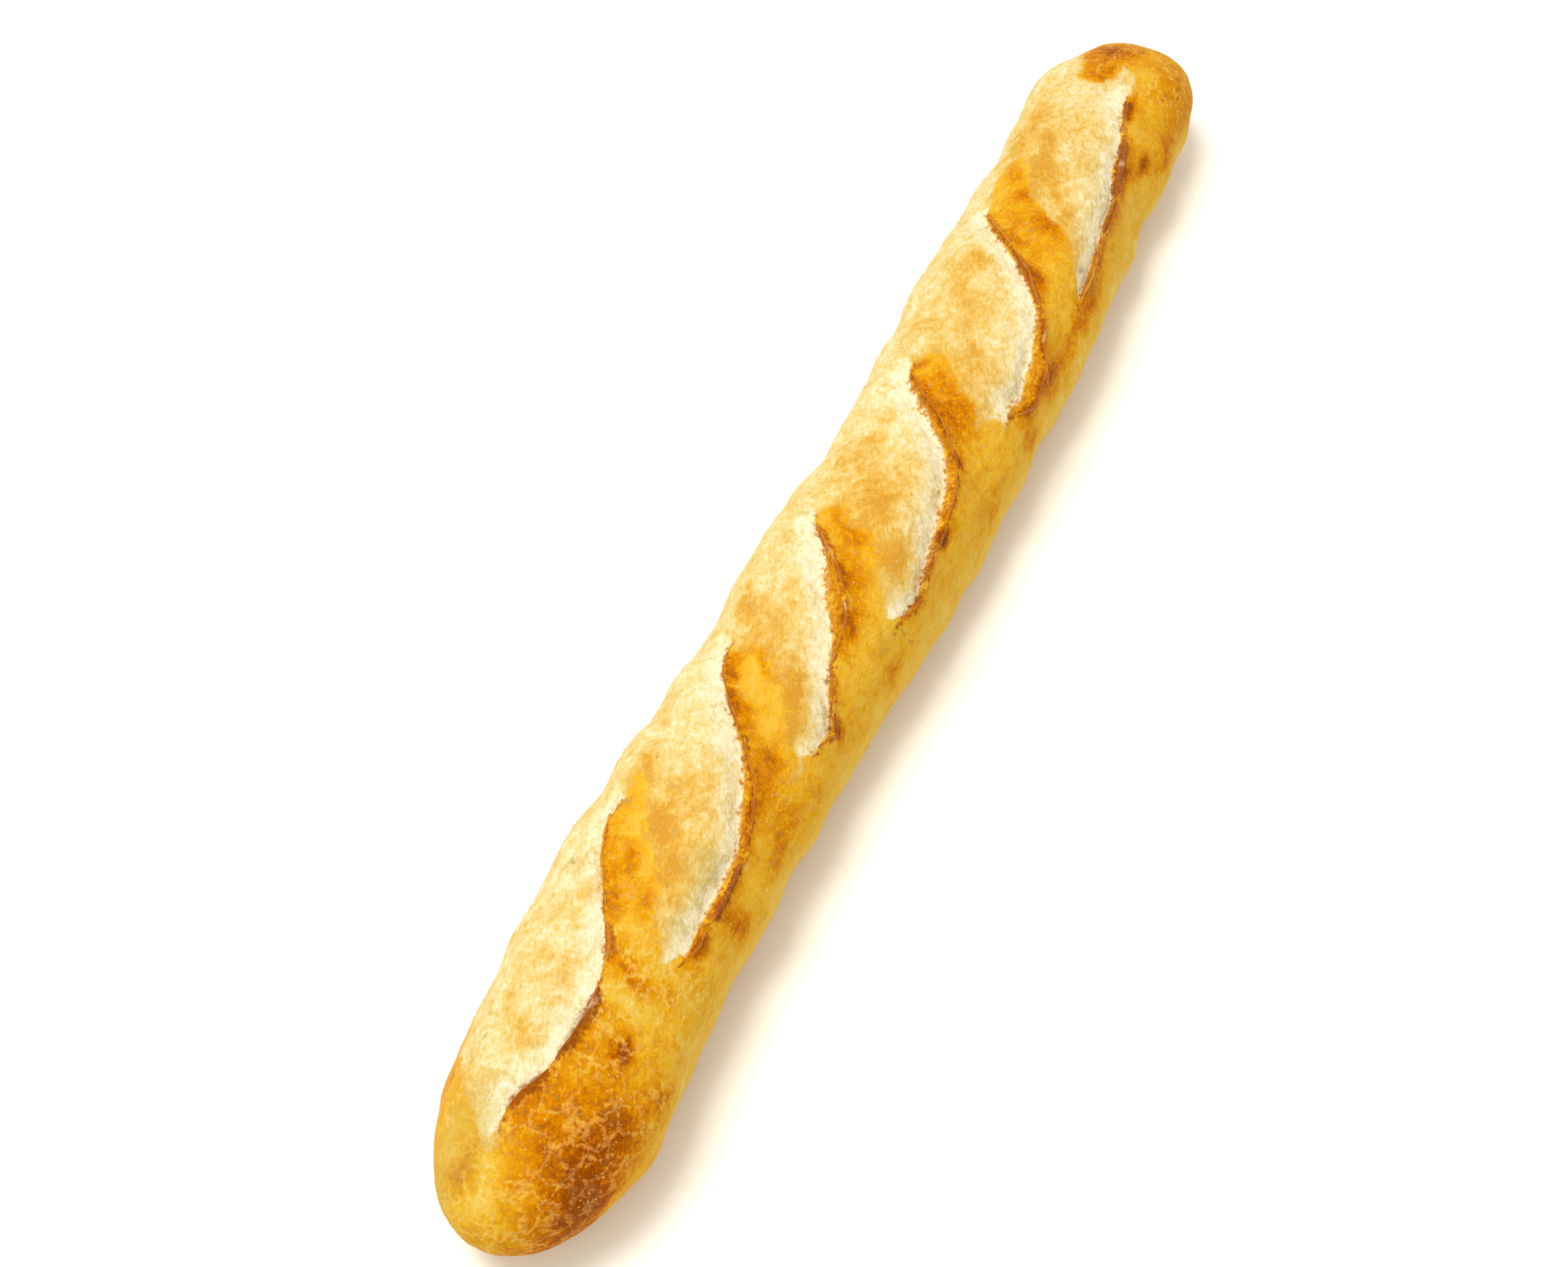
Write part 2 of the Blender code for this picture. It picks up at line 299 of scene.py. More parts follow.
def distanceToLip(slash, x, girth):  # signed distance to a lip, and how far along it the nearest place is
    lipX = np.linspace(slash["near"], slash["far"], lipRelief["lipSpans"] + 1)
    lip = np.column_stack((lipX, lipLine(slash, lipX)))
    spans = np.diff(lip, axis=0)
    points = np.column_stack((np.full_like(girth, x), girth))
    offsets = points[:, None, :] - lip[None, :-1, :]
    along = np.clip((offsets * spans).sum(axis=2) / (spans**2).sum(axis=1), 0.0, 1.0)
    distances = np.linalg.norm(offsets - along[:, :, None] * spans, axis=2)
    nearest = distances.argmin(axis=1)
    rows = np.arange(len(girth))
    lengths = np.linalg.norm(spans, axis=1)
    walked = (np.cumsum(lengths) - lengths)[nearest] + along[rows, nearest] * lengths[nearest]
    side = np.where(girth > lipLine(slash, x) + 1e-7, 1.0, -1.0)  # a point on the lip counts as below it
    return side * distances[rows, nearest], walked


def tearWidth(slash, x):
    widest = bell(shareAt(slash, x) - slash["tearAt"], slash["tearSpread"])
    width = slash["thin"] + (slash["tear"] - slash["thin"]) * widest
    stray = lipRelief["tearVariation"] * np.interp(x, *slash["tearStray"])
    return width * np.maximum(1 + stray, lipRelief["leastTear"])


def slashRelief(slash, x, away):  # outward rise and sideways lean beside a slash
    r = lipRelief
    strength = taper(shareAt(slash, x), 0, 1, r["fadeNear"], r["fadeFar"])
    strength = strength * (1 + r["riseVariation"] * np.interp(x, *slash["riseStray"]))
    tear = tearWidth(slash, x)
    lip = r["rise"] * np.exp(-np.abs(away) / r["width"])
    face = r["rise"] - (r["rise"] + r["grooveDepth"]) * smoothStep(away / tear)
    past = away - tear
    groove = r["grooveDepth"] * np.exp(-np.maximum(past, 0.0) / r["grooveWidth"])
    swell = growing(past, r["swellRise"], 0, r["swellStart"])
    swell *= bell(away - r["swellMiddle"], r["swellSpread"])
    rise = strength * np.where(away < 0, lip, np.where(past < 0, face, swell - groove))
    lean = strength * np.where(away < 0, r["lean"] * np.exp(-np.abs(away) / r["leanWidth"]), 0.0)
    return rise, lean


def skinWaves():
    draw = np.random.default_rng(loaf["waveSeed"])
    lengths = draw.uniform(*loaf["waveSizes"], loaf["waveCount"])
    headings = draw.uniform(0.0, math.pi, loaf["waveCount"])
    phases = draw.uniform(0.0, 2 * math.pi, loaf["waveCount"])
    return list(zip(lengths, headings, phases))


waves = skinWaves()


def rowPlaces():
    near = -loaf["length"] / 2 + loaf["nearCap"][0]
    far = loaf["length"] / 2 - loaf["farCap"][0]
    angles = np.linspace(0.0, math.pi / 2, loaf["capRows"] + 1)[1:]
    nearCap = near - loaf["nearCap"][0] * np.cos(angles)
    body = np.linspace(near, far, loaf["bodyRows"] + 1)[1:]
    farCap = far + loaf["farCap"][0] * np.cos(angles[::-1])
    return np.concatenate((nearCap, body, farCap[1:]))


def evenColumns(halfGirth, reference):
    band = np.arange(loaf["bandFrom"], loaf["bandTo"] + loaf["bandStep"] / 2, loaf["bandStep"])
    right = np.linspace(-reference, band[0], loaf["flankColumns"] + 1)[:-1]
    left = np.linspace(band[-1], reference, loaf["flankColumns"] + 1)[1:]
    return np.concatenate((right, band, left)) * halfGirth / reference


def pullColumns(columns, x):  # one column on each lip, and one in its groove
    reach = loaf["pullReach"]
    pulls = {0: 0.0, len(columns) - 1: 0.0}
    lips = {}
    for number, slash in enumerate(slashes):
        if slash["near"] < x < slash["far"]:
            edge = lipLine(slash, x)
            index = int(np.argmin(np.abs(columns - edge)))
            groove = edge + tearWidth(slash, x)
            step = max(1, int(round((groove - edge) / loaf["bandStep"])))
            lips[number] = (index, step, edge, groove)
    for index, step, edge, groove in lips.values():
        pulls[index - reach] = 0.0
        pulls[index + step + reach] = 0.0
    for index, step, edge, groove in lips.values():
        pulls[index] = edge - columns[index]
        pulls[index + step] = groove - columns[index + step]
    order = sorted(pulls)
    pull = np.interp(np.arange(len(columns)), order, [pulls[index] for index in order])
    return columns + pull, {number: lip[0] for number, lip in lips.items()}


def liftSkin(x, columns, girth, places, waves):  # places of one ring with its relief, and its slash facts
    y = np.interp(columns, girth, places[:, 0])
    z = np.interp(columns, girth, places[:, 1])
    tangentY = np.interp(columns, girth, np.gradient(places[:, 0], girth))
    tangentZ = np.interp(columns, girth, np.gradient(places[:, 1], girth))
    size = np.hypot(tangentY, tangentZ)
    tangentY, tangentZ = tangentY / size, tangentZ / size
    rise = np.zeros_like(columns)
    for length, heading, phase in waves:
        run = x * np.cos(heading) + columns * np.sin(heading)
        rise += loaf["waveRise"] * np.sin(2 * math.pi * run / length + phase)
    rise *= capAt(x)[0]
    lean = np.zeros_like(columns)
    aways, walks = [], []
    for slash in slashes:
        away, walked = distanceToLip(slash, x, columns)
        slashRise, slashLean = slashRelief(slash, x, away)
        rise += slashRise
        lean += slashLean
        aways.append(away)
        walks.append(walked)
    rise *= smoothStep((1 - np.abs(columns) / girth[-1]) / loaf["calmBand"])
    y = y - tangentZ * rise + tangentY * lean
    z = z + tangentY * rise + tangentZ * lean
    return y, z, np.array(aways), np.array(walks), tangentY, tangentZ


def loafRing(x, waves, reference):
    girth, places = upperSection(x)
    columns, lips = pullColumns(evenColumns(girth[-1], reference), x)
    y, z, aways, walks, _, _ = liftSkin(x, columns, girth, places, waves)
    baseCount = loaf["baseColumns"]
    y = np.concatenate((y, np.linspace(y[-1], y[0], baseCount + 1)[1:-1]))
    z = np.concatenate((z, np.full(baseCount - 1, z[0])))
    girths = np.concatenate((columns, np.full(baseCount - 1, girth[-1])))
    aways = np.pad(aways, ((0, 0), (0, baseCount - 1)), mode="edge")
    walks = np.pad(walks, ((0, 0), (0, baseCount - 1)), mode="edge")
    return np.column_stack((np.full(len(y), x), y, z)), girths, aways, walks, lips, len(columns)


def leansBack(lips, nextLips, count):  # columns whose diagonal has to follow a lip that steps down
    reach = loaf["pullReach"]
    back = np.zeros(count, bool)
    for number, index in lips.items():
        if nextLips.get(number, index) < index:
            back[max(index - reach, 0):index + reach + 1] = True
    return back


def makeLoaf():
    reference = upperSection(0.0)[0][-1]
    rows = rowPlaces()
    rings = [loafRing(x, waves, reference) for x in rows]
    count = len(rings[0][0])
    places = np.concatenate([ring[0] for ring in rings])
    skin = np.column_stack((places[:, 0], np.concatenate([ring[1] for ring in rings])))
    aways = np.concatenate([ring[2] for ring in rings], axis=1)
    walks = np.concatenate([ring[3] for ring in rings], axis=1)
    column = np.arange(count)
    faces = []
    for index in range(len(rings) - 1):
        a = index * count + column
        d = index * count + (column + 1) % count
        b, c = a + count, d + count
        back = leansBack(rings[index][4], rings[index + 1][4], count)[:, None]
        faces.append(np.where(back, np.column_stack((b, c, d)), np.column_stack((a, b, c))))
        faces.append(np.where(back, np.column_stack((b, d, a)), np.column_stack((a, c, d))))
    last = (len(rings) - 1) * count
    tips = []
    for side in (-1, 1):
        x = side * loaf["length"] / 2
        height = 2 * followStations(1, x) * loaf["heightToWidth"]
        tips.append((x, followStations(2, x), capAt(x)[1] * height))
    nearTip = np.full(count, len(places))
    farTip = nearTip + 1
    following = (column + 1) % count
    faces.append(np.column_stack((nearTip, column, following)))
    faces.append(np.column_stack((farTip, last + following, last + column)))
    places = np.vstack((places, tips))
    middle = (places[:, 1].min() + places[:, 1].max()) / 2
    places[:, 1] -= middle
    skin = np.vstack((skin, [(tips[0][0], 0.0), (tips[1][0], 0.0)]))
    ends = [0, last]
    aways = np.hstack((aways, aways[:, ends]))
    walks = np.hstack((walks, walks[:, ends]))
    topColumns = rings[0][5]
    under = np.append(np.tile(column >= topColumns, len(rings)), [False, False])
    return places, np.concatenate(faces), skin, aways, walks, under, middle


places, faces, skin, aways, walks, under, middle = makeLoaf()
print("loaf:", len(places), "points,", len(faces), "triangles, moved sideways", round(middle / mm, 2), "mm")


def newMesh(name, points, triangles):
    mesh = bpy.data.meshes.new(name)
    mesh.from_pydata(points.tolist(), [], triangles.tolist())
    mesh.update()
    mesh.shade_smooth()
    return newObject(name, mesh)


# Where the dough stayed pale and where the crust took colour, in millimetres of x and girth. First comes the
# side of each opening that its lip doesn't hold, from the left flank down to the lower tip.
doughBorder = {
    0: [(-200, 90), (-205, 66), (-215, 54), (-213, 43), (-223, 36), (-226, 29), (-232, 22), (-237.5, 16),
        (-241, 11.5), (-245.5, 6.5), (-249, 4.2), (-246, 3.0)],
    1: [(-128, 19.5), (-122, 19), (-125, 16), (-128, 13.5), (-132, 11.5), (-140, 6), (-148, 0.5),
        (-155.5, -5.5), (-163.5, -8.5), (-167, -9.5), (-171, -13.5), (-174, -16.5), (-180, -18),
        (-175, -19.8), (-171.5, -21.5)],
    2: [(-68.5, 19), (-71, 16), (-69, 12), (-68, 6), (-71, 2.5), (-76.5, -3), (-81.5, -7.5), (-84.5, -11),
        (-89.5, -14.5), (-94.5, -18), (-95.5, -21.5), (-100, -23), (-105, -25), (-99, -26.5),
        (-94, -23.5), (-92, -25.2)],
    3: [(-9, 15.5), (-5.5, 10.5), (-8, 6), (-13.5, 3), (-12, -1), (-14.5, -6), (-19.5, -10), (-25.5, -12),
        (-29, -15), (-34.5, -21), (-38, -23.5), (-36.5, -25.5), (-33, -27.5)],
    4: [(61, 14.5), (63, 13.5), (66.5, 10), (68.5, 8.5), (66, 5), (63.5, 2.5), (59.5, -1), (54.5, -6),
        (53, -11.5), (50, -14.5), (45, -16.2), (49, -18.5), (54, -22), (48.5, -25.5), (56, -25.5),
        (60, -24.5)],
    5: [(151, 22.6), (162, 23.5), (170.5, 23), (172.5, 17.5), (170.5, 16.5), (158.5, 9.5), (149.5, 4),
        (146, -0.5), (141.5, -5.5), (140.5, -9), (132.5, -16), (125, -20), (123.5, -23.5), (119, -29.2)],
}
farBorder = [(219.5, -10), (223.5, -9), (228, -7.5), (231.5, -1.5), (223.5, -1.5), (217.5, 1.5),
             (217, 7.5), (217.5, 11.5), (227.5, 14.5), (236, 19), (245, 24.5), (246, 33), (237, 42),
             (240, 52), (230, 62), (224, 90)]

crustAndShadePatches = [  # darker or lighter places of the crust, one of them painted shade: x, girth, half length, half width, turn, amount
    (-241, -26, 18, 13, 0, 0.2), (-248, -42, 13, 14, 0, 0.18), (-246, -26, 10, 9, 0, 0.2),
    (-216, -19, 27, 15, 0, 0.1), (-226, -30, 8, 7, 0, 0.1), (-206, -19, 4, 3.6, 0, 0.5),
    (-186, -12, 3, 9, 10, 0.3), (-238, -8, 7, 5, 0, 0.12), (-207, -37, 6, 5, 0, 0.2),
    (-254, 10, 5, 4, 0, 0.3), (-250, 2, 4, 3, 20, -0.3), (-257, -1, 5, 3, 20, -0.3),
    (-262, 0, 5, 12, 0, -0.1), (-249, 18, 14, 10, 0, -0.27), (-262, 10, 6, 12, 0, -0.12),
    (-192, -13, 2, 9, 0, -0.3), (-170, 1, 5, 4, 0, 0.25), (-152, 5, 7, 3.5, 35, 0.3),
    (-163, -7, 6, 3, 15, 0.25), (-160, 8, 8, 4, 30, 0.2), (-140, 14, 9, 3, 25, 0.1),
    (-145, 8, 9, 3, 30, -0.1), (-166, -26, 7, 2.5, 0, 0.35), (-151, -36, 3.5, 8, 0, 0.4),
    (-128, -35, 6, 5, 0, 0.2), (-115, -34, 9, 5, 0, 0.25), (-118, -20, 5, 4, 0, 0.3),
    (-100, -14, 4, 6, -25, 0.3), (-108, -18, 6, 6, 0, 0.2), (-90, 2, 10, 3, 45, 0.3),
    (-79, -29, 3, 4, 0, 0.35), (-78, 12, 6, 2.5, 40, 0.3), (-72, 4, 2, 7, -30, 0.3),
    (-80, 5, 5, 5, 30, -0.12), (-92, -22, 5, 3, 0, 0.2), (-60, -22, 8, 5, 0, -0.05),
    (-48, -38, 6, 6, 0, 0.3), (-50, -15, 9, 3, 5, 0.35), (-32, -6, 6, 5, 30, 0.22),
    (-40, -13, 8, 4, 20, 0.15), (-18, -2, 4, 6, -15, 0.3), (-12, 8, 2.5, 7, -35, 0.25),
    (-1, -25.5, 5, 2.4, 0, 0.4), (-8, -44, 3, 6, 0, 0.2), (28, -16.5, 4, 1.6, 20, 0.3),
    (44, -8, 10, 6, 20, 0.22), (50, -2, 15, 9, 35, 0.17), (58, 1, 6, 3, 30, 0.12),
    (50, 6, 7, 2.5, 45, 0.15), (60, 13.5, 2.5, 2, 0, 0.25), (68, 6.5, 3, 2, 40, 0.25),
    # the patch at x 62, girth -43 is a painted shadow on the low right flank
    (28, -40, 7, 6, 0, 0.2), (62, -43, 5, 8, 0, 0.35), (75, -31.5, 14, 3, -8, 0.32),
    (88, -36, 10, 5, 0, 0.3), (112, -34, 12, 5, 0, 0.3), (112, -9, 5, 4, 45, 0.4), (124, 0, 7, 5, 40, 0.2),
    (138, -7, 5, 3.5, 0, 0.4), (143, -1, 5, 4, 0, 0.4), (150, 8, 5, 4, 30, 0.35), (134, 8, 8, 5, 40, 0.2),
    (162, 17, 9, 4, 30, 0.25), (130, -13, 8, 7, 0, 0.1), (140, -28, 6, 2, 8, 0.35),
    (128, -34, 10, 4, 0, 0.3), (180, -23.5, 14, 2.5, 12, 0.35), (190, -28, 8, 4, -30, 0.25),
    (196, -28, 3.2, 3.6, 0, 0.45), (213, -11.6, 8, 1.8, 12, 0.4), (212, -35, 9, 5, 0, 0.25),
    (221, 6, 5, 6, 0, 0.3), (228, 2, 3, 3, 0, 0.4), (236, 12, 9, 6, 20, 0.3), (243, 4, 8, 8, 0, 0.3),
    (241, -20, 14, 12, 0, 0.06), (229, -27, 22, 14, 0, 0.13), (264, -6, 7, 32, 0, 0.18),
    (205, -15.5, 4, 2, 10, -0.25), (233, -9, 4, 5, 0, -0.15), (140, -41, 9, 3, -30, -0.3),
    (172, -46, 6, 2.5, -30, -0.25), (175, -36, 20, 5, 0, -0.1),
]

doughPatches = [  # golden places of the pale dough, the same six numbers
    (-215, 12, 6, 4, 10, 0.25), (-192, 17, 5, 7, 0, 0.15), (-207, 21, 4, 2.5, 0, 0.3),
    (-168, 13, 7, 3, 15, 0.25), (-190, 8, 8, 4, 0, 0.08), (-150, -8, 14, 6, 25, 0.32),
    (-137, 3, 7, 3.5, 30, 0.3), (-125, 0, 9, 6, 20, 0.25), (-115, -9, 8, 5, 30, 0.15),
    (-119, 17, 9, 2, 20, 0.3), (-138, -14, 8, 4, 20, 0.15), (-85, -5, 6, 7, 40, 0.5),
    (-75, -7, 9, 4, 30, 0.4), (-72, 6, 5, 5, 0, 0.35), (-56, 18, 13, 3, 25, 0.35),
    (-58, 8, 10, 6, 30, 0.22), (-88, -18, 6, 5, 0, 0.3), (-46, 3, 9, 5, 30, 0.12), (-3, -3, 9, 5, 10, 0.4),
    (6, 7, 10, 5, 10, 0.32), (24, 13, 9, 4, 0, 0.3), (-19, -17, 8, 6, 20, 0.5), (12, -4, 8, 5, 0, 0.2),
    (12, 20, 10, 4, 10, 0.2), (40, 18, 5, 4, 0, -0.1), (99, 15, 6, 5, 0, 0.35), (112, 12, 5, 6, 20, 0.4),
    (88, 5, 9, 7, 0, 0.25), (79, 20, 3, 7, 0, 0.3), (70, -4, 9, 6, 20, 0.3), (66, -14, 6, 5, 0, 0.18),
    (180, 9, 10, 4, 10, 0.45), (165, 4, 9, 5, 20, 0.35), (198, 19, 10, 5, 0, 0.35),
    (184, 24, 10, 6, 0, 0.3), (193, 2, 5, 4, 0, 0.25), (154, -5, 10, 3.5, 30, 0.3),
    (208, 3, 7, 3, 10, 0.12), (146, -10, 5, 2, 0, 0.25), (196, -9, 4, 3, 0, 0.2), (175, -5, 12, 5, 0, 0.1),
    (205, -18, 4, 3, 0, 0.1),
]

burntEdges = [  # dark stretches of the lips: lip, first x, last x, offset from the crest, half width, amount
    (0, -237, -220, 0.4, 1.9, 0.85), (0, -219, -192, 0.3, 2.0, 1.0), (0, -186, -174, -0.6, 1.6, 0.6),
    (0, -174, -169, 0.4, 1.2, 0.8), (0, -166, -140, 0.0, 0.7, 0.2), (1, -171, -161, 0.2, 0.9, 0.7),
    (1, -158, -136, -0.1, 1.2, 0.95), (1, -136, -116, 0.6, 0.9, 0.75), (1, -116, -100, 0.6, 0.8, 0.5),
    (1, -100, -84, 0.8, 0.8, 0.55), (1, -84, -70, 0.2, 1.0, 0.55), (2, -84, -76, -1.0, 1.5, 0.95),
    (2, -75, -62, 0.2, 0.9, 0.55), (2, -60, -51, -0.4, 1.0, 0.45), (2, -52, -42, -1.2, 1.4, 0.7),
    (2, -41, -28, -0.3, 1.1, 0.65), (2, -28, -15, -0.1, 0.8, 0.6), (3, -36, -20, 0.2, 1.0, 0.65),
    (3, -20, -7, 0.2, 0.8, 0.45), (3, -6, 4, -1.0, 1.8, 0.95), (3, 4, 24, 0.0, 0.8, 0.6),
    (3, 24, 32, -0.4, 1.3, 0.85), (3, 32, 56, 0.2, 0.8, 0.65), (3, 56, 60, 0.6, 1.2, 0.9),
    (4, 60, 82, 0.1, 1.3, 0.8), (4, 82, 100, 0.1, 0.9, 0.65), (4, 100, 120, 0.2, 1.0, 0.7),
    (4, 120, 141, 0.2, 0.7, 0.4), (5, 117, 136, 0.0, 0.7, 0.3), (5, 136, 151, -0.3, 1.0, 0.5),
    (5, 151, 168, 0.1, 1.0, 0.7), (5, 168, 196, 0.2, 1.7, 0.95), (5, 196, 203, 0.0, 0.8, 0.4),
    (5, 203, 217, -0.6, 1.4, 0.9),
]

pores = [  # small dark holes and cracks in the dough: x, girth, half length, half width, turn
    (-226, 22, 1.6, 0.7, 20), (-218, 22.3, 1.8, 0.8, 0), (-159, 22, 1.5, 0.8, 40), (-117, 16, 0.8, 0.5, 0),
    (-24, -22, 1.1, 0.6, 30), (129, -24, 2.4, 1.1, -25), (164.5, -17, 0.8, 0.6, 0), (46, 21.5, 1.0, 0.6, 0),
    (-12, 21, 1.6, 0.7, -30), (-69.5, 12, 0.3, 2.4, 15), (-75, 22.5, 0.3, 3.0, 10),
    (147, -14.5, 0.8, 0.6, 0), (-99, -36, 0.25, 2.6, 8), (-36, -33, 0.3, 4.5, 4), (-34, -40, 0.25, 3.5, 30),
    (-68, -17, 0.5, 1.6, -20),
]

olivePatches = [  # places given a greenish grey cast, the same six numbers
    (-250, 15, 13, 10, 0, 1.3), (-143, -14, 6, 3.5, 0, 0.7), (-152, -17.5, 6, 3, 10, 0.7),
    (-164, -16, 6, 2.5, 10, 0.8), (-158, 21, 9, 4, 0, 0.6), (-219, 23, 8, 4, 0, 0.6),
    (-231, 13, 9, 4, 30, 0.4), (-240, 8, 6, 2.5, 20, 0.5), (-78, -23, 4, 2.5, 0, 0.7),
    (-44, -27, 5, 2.5, 0, 0.6), (51, -14, 5, 3, 0, 0.5), (60, -18, 6, 3, 0, 0.5), (155, -17, 6, 3, 0, 0.4),
    (-131, 20, 6, 3, 0, 0.4), (-30, -17, 5, 3, 0, 0.5), (130, -23, 5, 2.5, 0, 0.5), (200, 8, 6, 4, 0, 0.3),
]

# pale veins away from the ends, the same six numbers
veinPatches = [(-37, -30, 6, 12, 0, 0.7), (58, -24, 14, 6, 0, 0.6)]

paint = {
    "warp": 2.2,  # how far patch edges wander, mm
    "warpSize": 9.0,
    "warpSeeds": (11, 12),
    "falloff": 0.8,  # a patch has faded to under half at the end of its half length
    "crustBase": 0.41,
    # the next eight grow with x or girth: how much, from which place and over how many mm
    "nearCapBake": (0.2, -195, -30),
    "farCapBake": (0.09, 215, 20),
    "rightFlankFadeAndLight": (-0.2, -36, -14),  # the low right flank saw less heat, and is painted paler too for the light the floor throws up on it
    "leftFlankGold": (0.35, 36, 25),
    "leftFlankBlur": (0.65, 28, 14),  # softens the border of the dough
    "nearVeins": (1.0, -160, -20),
    "nearVeinsAbove": (1.0, -48, 12),
    "farVeins": (0.9, 214, 14),
    "underside": (1.0, 0.15, 0.5),  # grows with how far down the skin faces
    "undersideBake": 0.52,
    "undersideDepth": 8.0,  # the underside counts as crust, so many mm from the dough
    "burnEnds": (6, 6, 0.25),  # mm over which a burnt stretch fades, and what share lies past its ends
    "burnThins": 0.4,  # it also narrows there
    "scorch": 0.24,  # the strip darkens towards a burnt edge, and within how many mm
    "scorchReach": 4.0,
    "scorchAbove": 1.0,
    "doughGold": 1.15,
    "doughEdge": 2.0,  # how soft the edges of the dough and of a tear are in the relief, mm
    "tearEdge": 0.8,
    "crispEdge": 1.6,  # the border is so much crisper beside the lips
    "unchalked": 0.37,  # gold of the dough far from a groove, and close to one, where it is also painted lighter against the groove's shade
    "chalkedAndLifted": 0.05,
    "chalkAndLiftFull": 0.85,
    "chalkAndLiftReach": 11.0,  # the stretched dough beside a groove stays white for so many mm, and is painted lighter there against the groove's shade too
    "chalkAndLiftPast": (2.0, 2.2, 0.5),  # how the white fades past a lip's tips: start, slope, least distance in mm
    "fuzz": (1.0, 0.45, 0.4),  # roughness of the white: how much, from which whiteness and over how much more
    "calmedLumps": 0.6,  # lumps and wrinkles are so much lower on the crust, and end beside the underside
    "calmedWrinkles": 0.5,
    "calmEdge": 0.2,
    "borderSteps": 30,
    "openShare": 0.06,  # a tear opens over this share of its lip
    "tornShare": 0.8,  # share of a torn face that browned; the rest stayed white
    "tornAbove": 0.5,  # it reaches so far over the crest, and past its own width, mm
    "tornPast": 0.4,
    "lipApart": 400.0,  # keeps the patterns of two lips apart, mm
    "toast": 0.3,  # gold that gathers beside the strips, how far it reaches in mm, and up to which girth
    "toastReach": 5.0,
    "toastUpTo": 24.0,
    "blisterGirths": (-62, 60),
    "blisterGaps": {"pale": 0.8, "torn": 1.0, "burnDepth": 0.5},  # room around dough, tears and burns, mm
    "farAway": 1000.0,
}


def patchSum(x, girth, patches):  # sum of soft turned ellipses
    total = np.zeros(len(x))
    for middleX, middleGirth, halfLength, halfWidth, turn, amount in patches:
        cosTurn, sinTurn = math.cos(math.radians(turn)), math.sin(math.radians(turn))
        along = (x - middleX) * cosTurn + (girth - middleGirth) * sinTurn
        across = (girth - middleGirth) * cosTurn - (x - middleX) * sinTurn
        total += amount * np.exp(-((along / halfLength) ** 2 + (across / halfWidth) ** 2) * paint["falloff"])
    return total


def distanceToChain(points, chain):  # distance from every point to a chain of straight spans
    nearest = np.full(len(points), 1e9)
    for start, stop in zip(chain[:-1], chain[1:]):
        span = stop - start
        share = np.clip((points - start) @ span / max(span @ span, 1e-9), 0.0, 1.0)
        nearest = np.minimum(nearest, np.linalg.norm(points - start - share[:, None] * span, axis=1))
    return nearest


def insideChain(points, chain):  # even-odd count of the crossings
    inside = np.zeros(len(points), bool)
    for (x0, y0), (x1, y1) in zip(chain, np.roll(chain, -1, axis=0)):
        between = (y0 > points[:, 1]) != (y1 > points[:, 1])
        run = x1 - x0
        crossing = x0 + run * (points[:, 1] - y0) / (y1 - y0 if y1 != y0 else 1e-9)
        inside ^= between & (points[:, 0] < crossing)
    return inside


def openTear(slash, x):  # a tear starts from nothing at both ends of its lip
    return tearWidth(slash, x) * taper(shareAt(slash, x), 0, 1, paint["openShare"], paint["openShare"])


def doughOutline():  # the closed border of all that stayed pale
    chain = []
    for number, slash in enumerate(slashes):
        chain += doughBorder[number]
        first = max(slash["near"], doughBorder[number][-1][0] * mm)
        lipX = np.linspace(first, slash["far"], paint["borderSteps"])
        groove = lipLine(slash, lipX) + paint["tornShare"] * openTear(slash, lipX)
        chain += list(zip(lipX / mm, groove / mm))
    return np.array(chain + farBorder, float)


def besideLips(skin, aways, walks):  # torn faces, whiteness beside the grooves (real, and painted light against their shade), places across and along a lip
    x = skin[:, 0] / mm
    torn, nearest = np.full(len(x), -paint["farAway"]), np.full(len(x), paint["farAway"])
    chalkAndLift, across, along = np.zeros((3, len(x)))
    start, slope, least = paint["chalkAndLiftPast"]
    for number, slash in enumerate(slashes):
        away, walked = aways[number] / mm, walks[number] / mm
        tear = openTear(slash, skin[:, 0]) / mm
        below = paint["tornShare"] * tear + paint["tornPast"] - away
        torn = np.maximum(torn, np.minimum(away + paint["tornAbove"], below))
        beyond = np.maximum(slash["near"] / mm - x, x - slash["far"] / mm) / np.maximum(np.abs(away), least)
        white = smoothStep(start - slope * beyond) * (1 - smoothStep((away - tear) / paint["chalkAndLiftReach"]))
        chalkAndLift = np.maximum(chalkAndLift, white * (away > 0))
        takes = np.abs(away) < nearest
        nearest = np.where(takes, np.abs(away), nearest)
        across = np.where(takes, away, across)
        along = np.where(takes, walked + paint["lipApart"] * number, along)
    return torn, chalkAndLift, across, along


def besideBurns(x, aways):  # how deep in a burnt edge, how burnt that is, and how scorched the skin below it
    deepest, burn, scorch = np.full(len(x), -paint["farAway"]), np.zeros(len(x)), np.zeros(len(x))
    for lip, first, last, offset, halfWidth, amount in burntEdges:
        strength = taper(x, first, last, *paint["burnEnds"])
        away = aways[lip] / mm - offset
        depth = halfWidth * ((1 + paint["burnThins"]) * strength - paint["burnThins"]) - np.abs(away)
        burn = np.where(depth > deepest, amount, burn)
        deepest = np.maximum(deepest, depth)
        reached = bell(away, paint["scorchReach"]) * (away < paint["scorchAbove"])
        scorch = np.maximum(scorch, amount * strength * reached)
    return deepest, burn, scorch


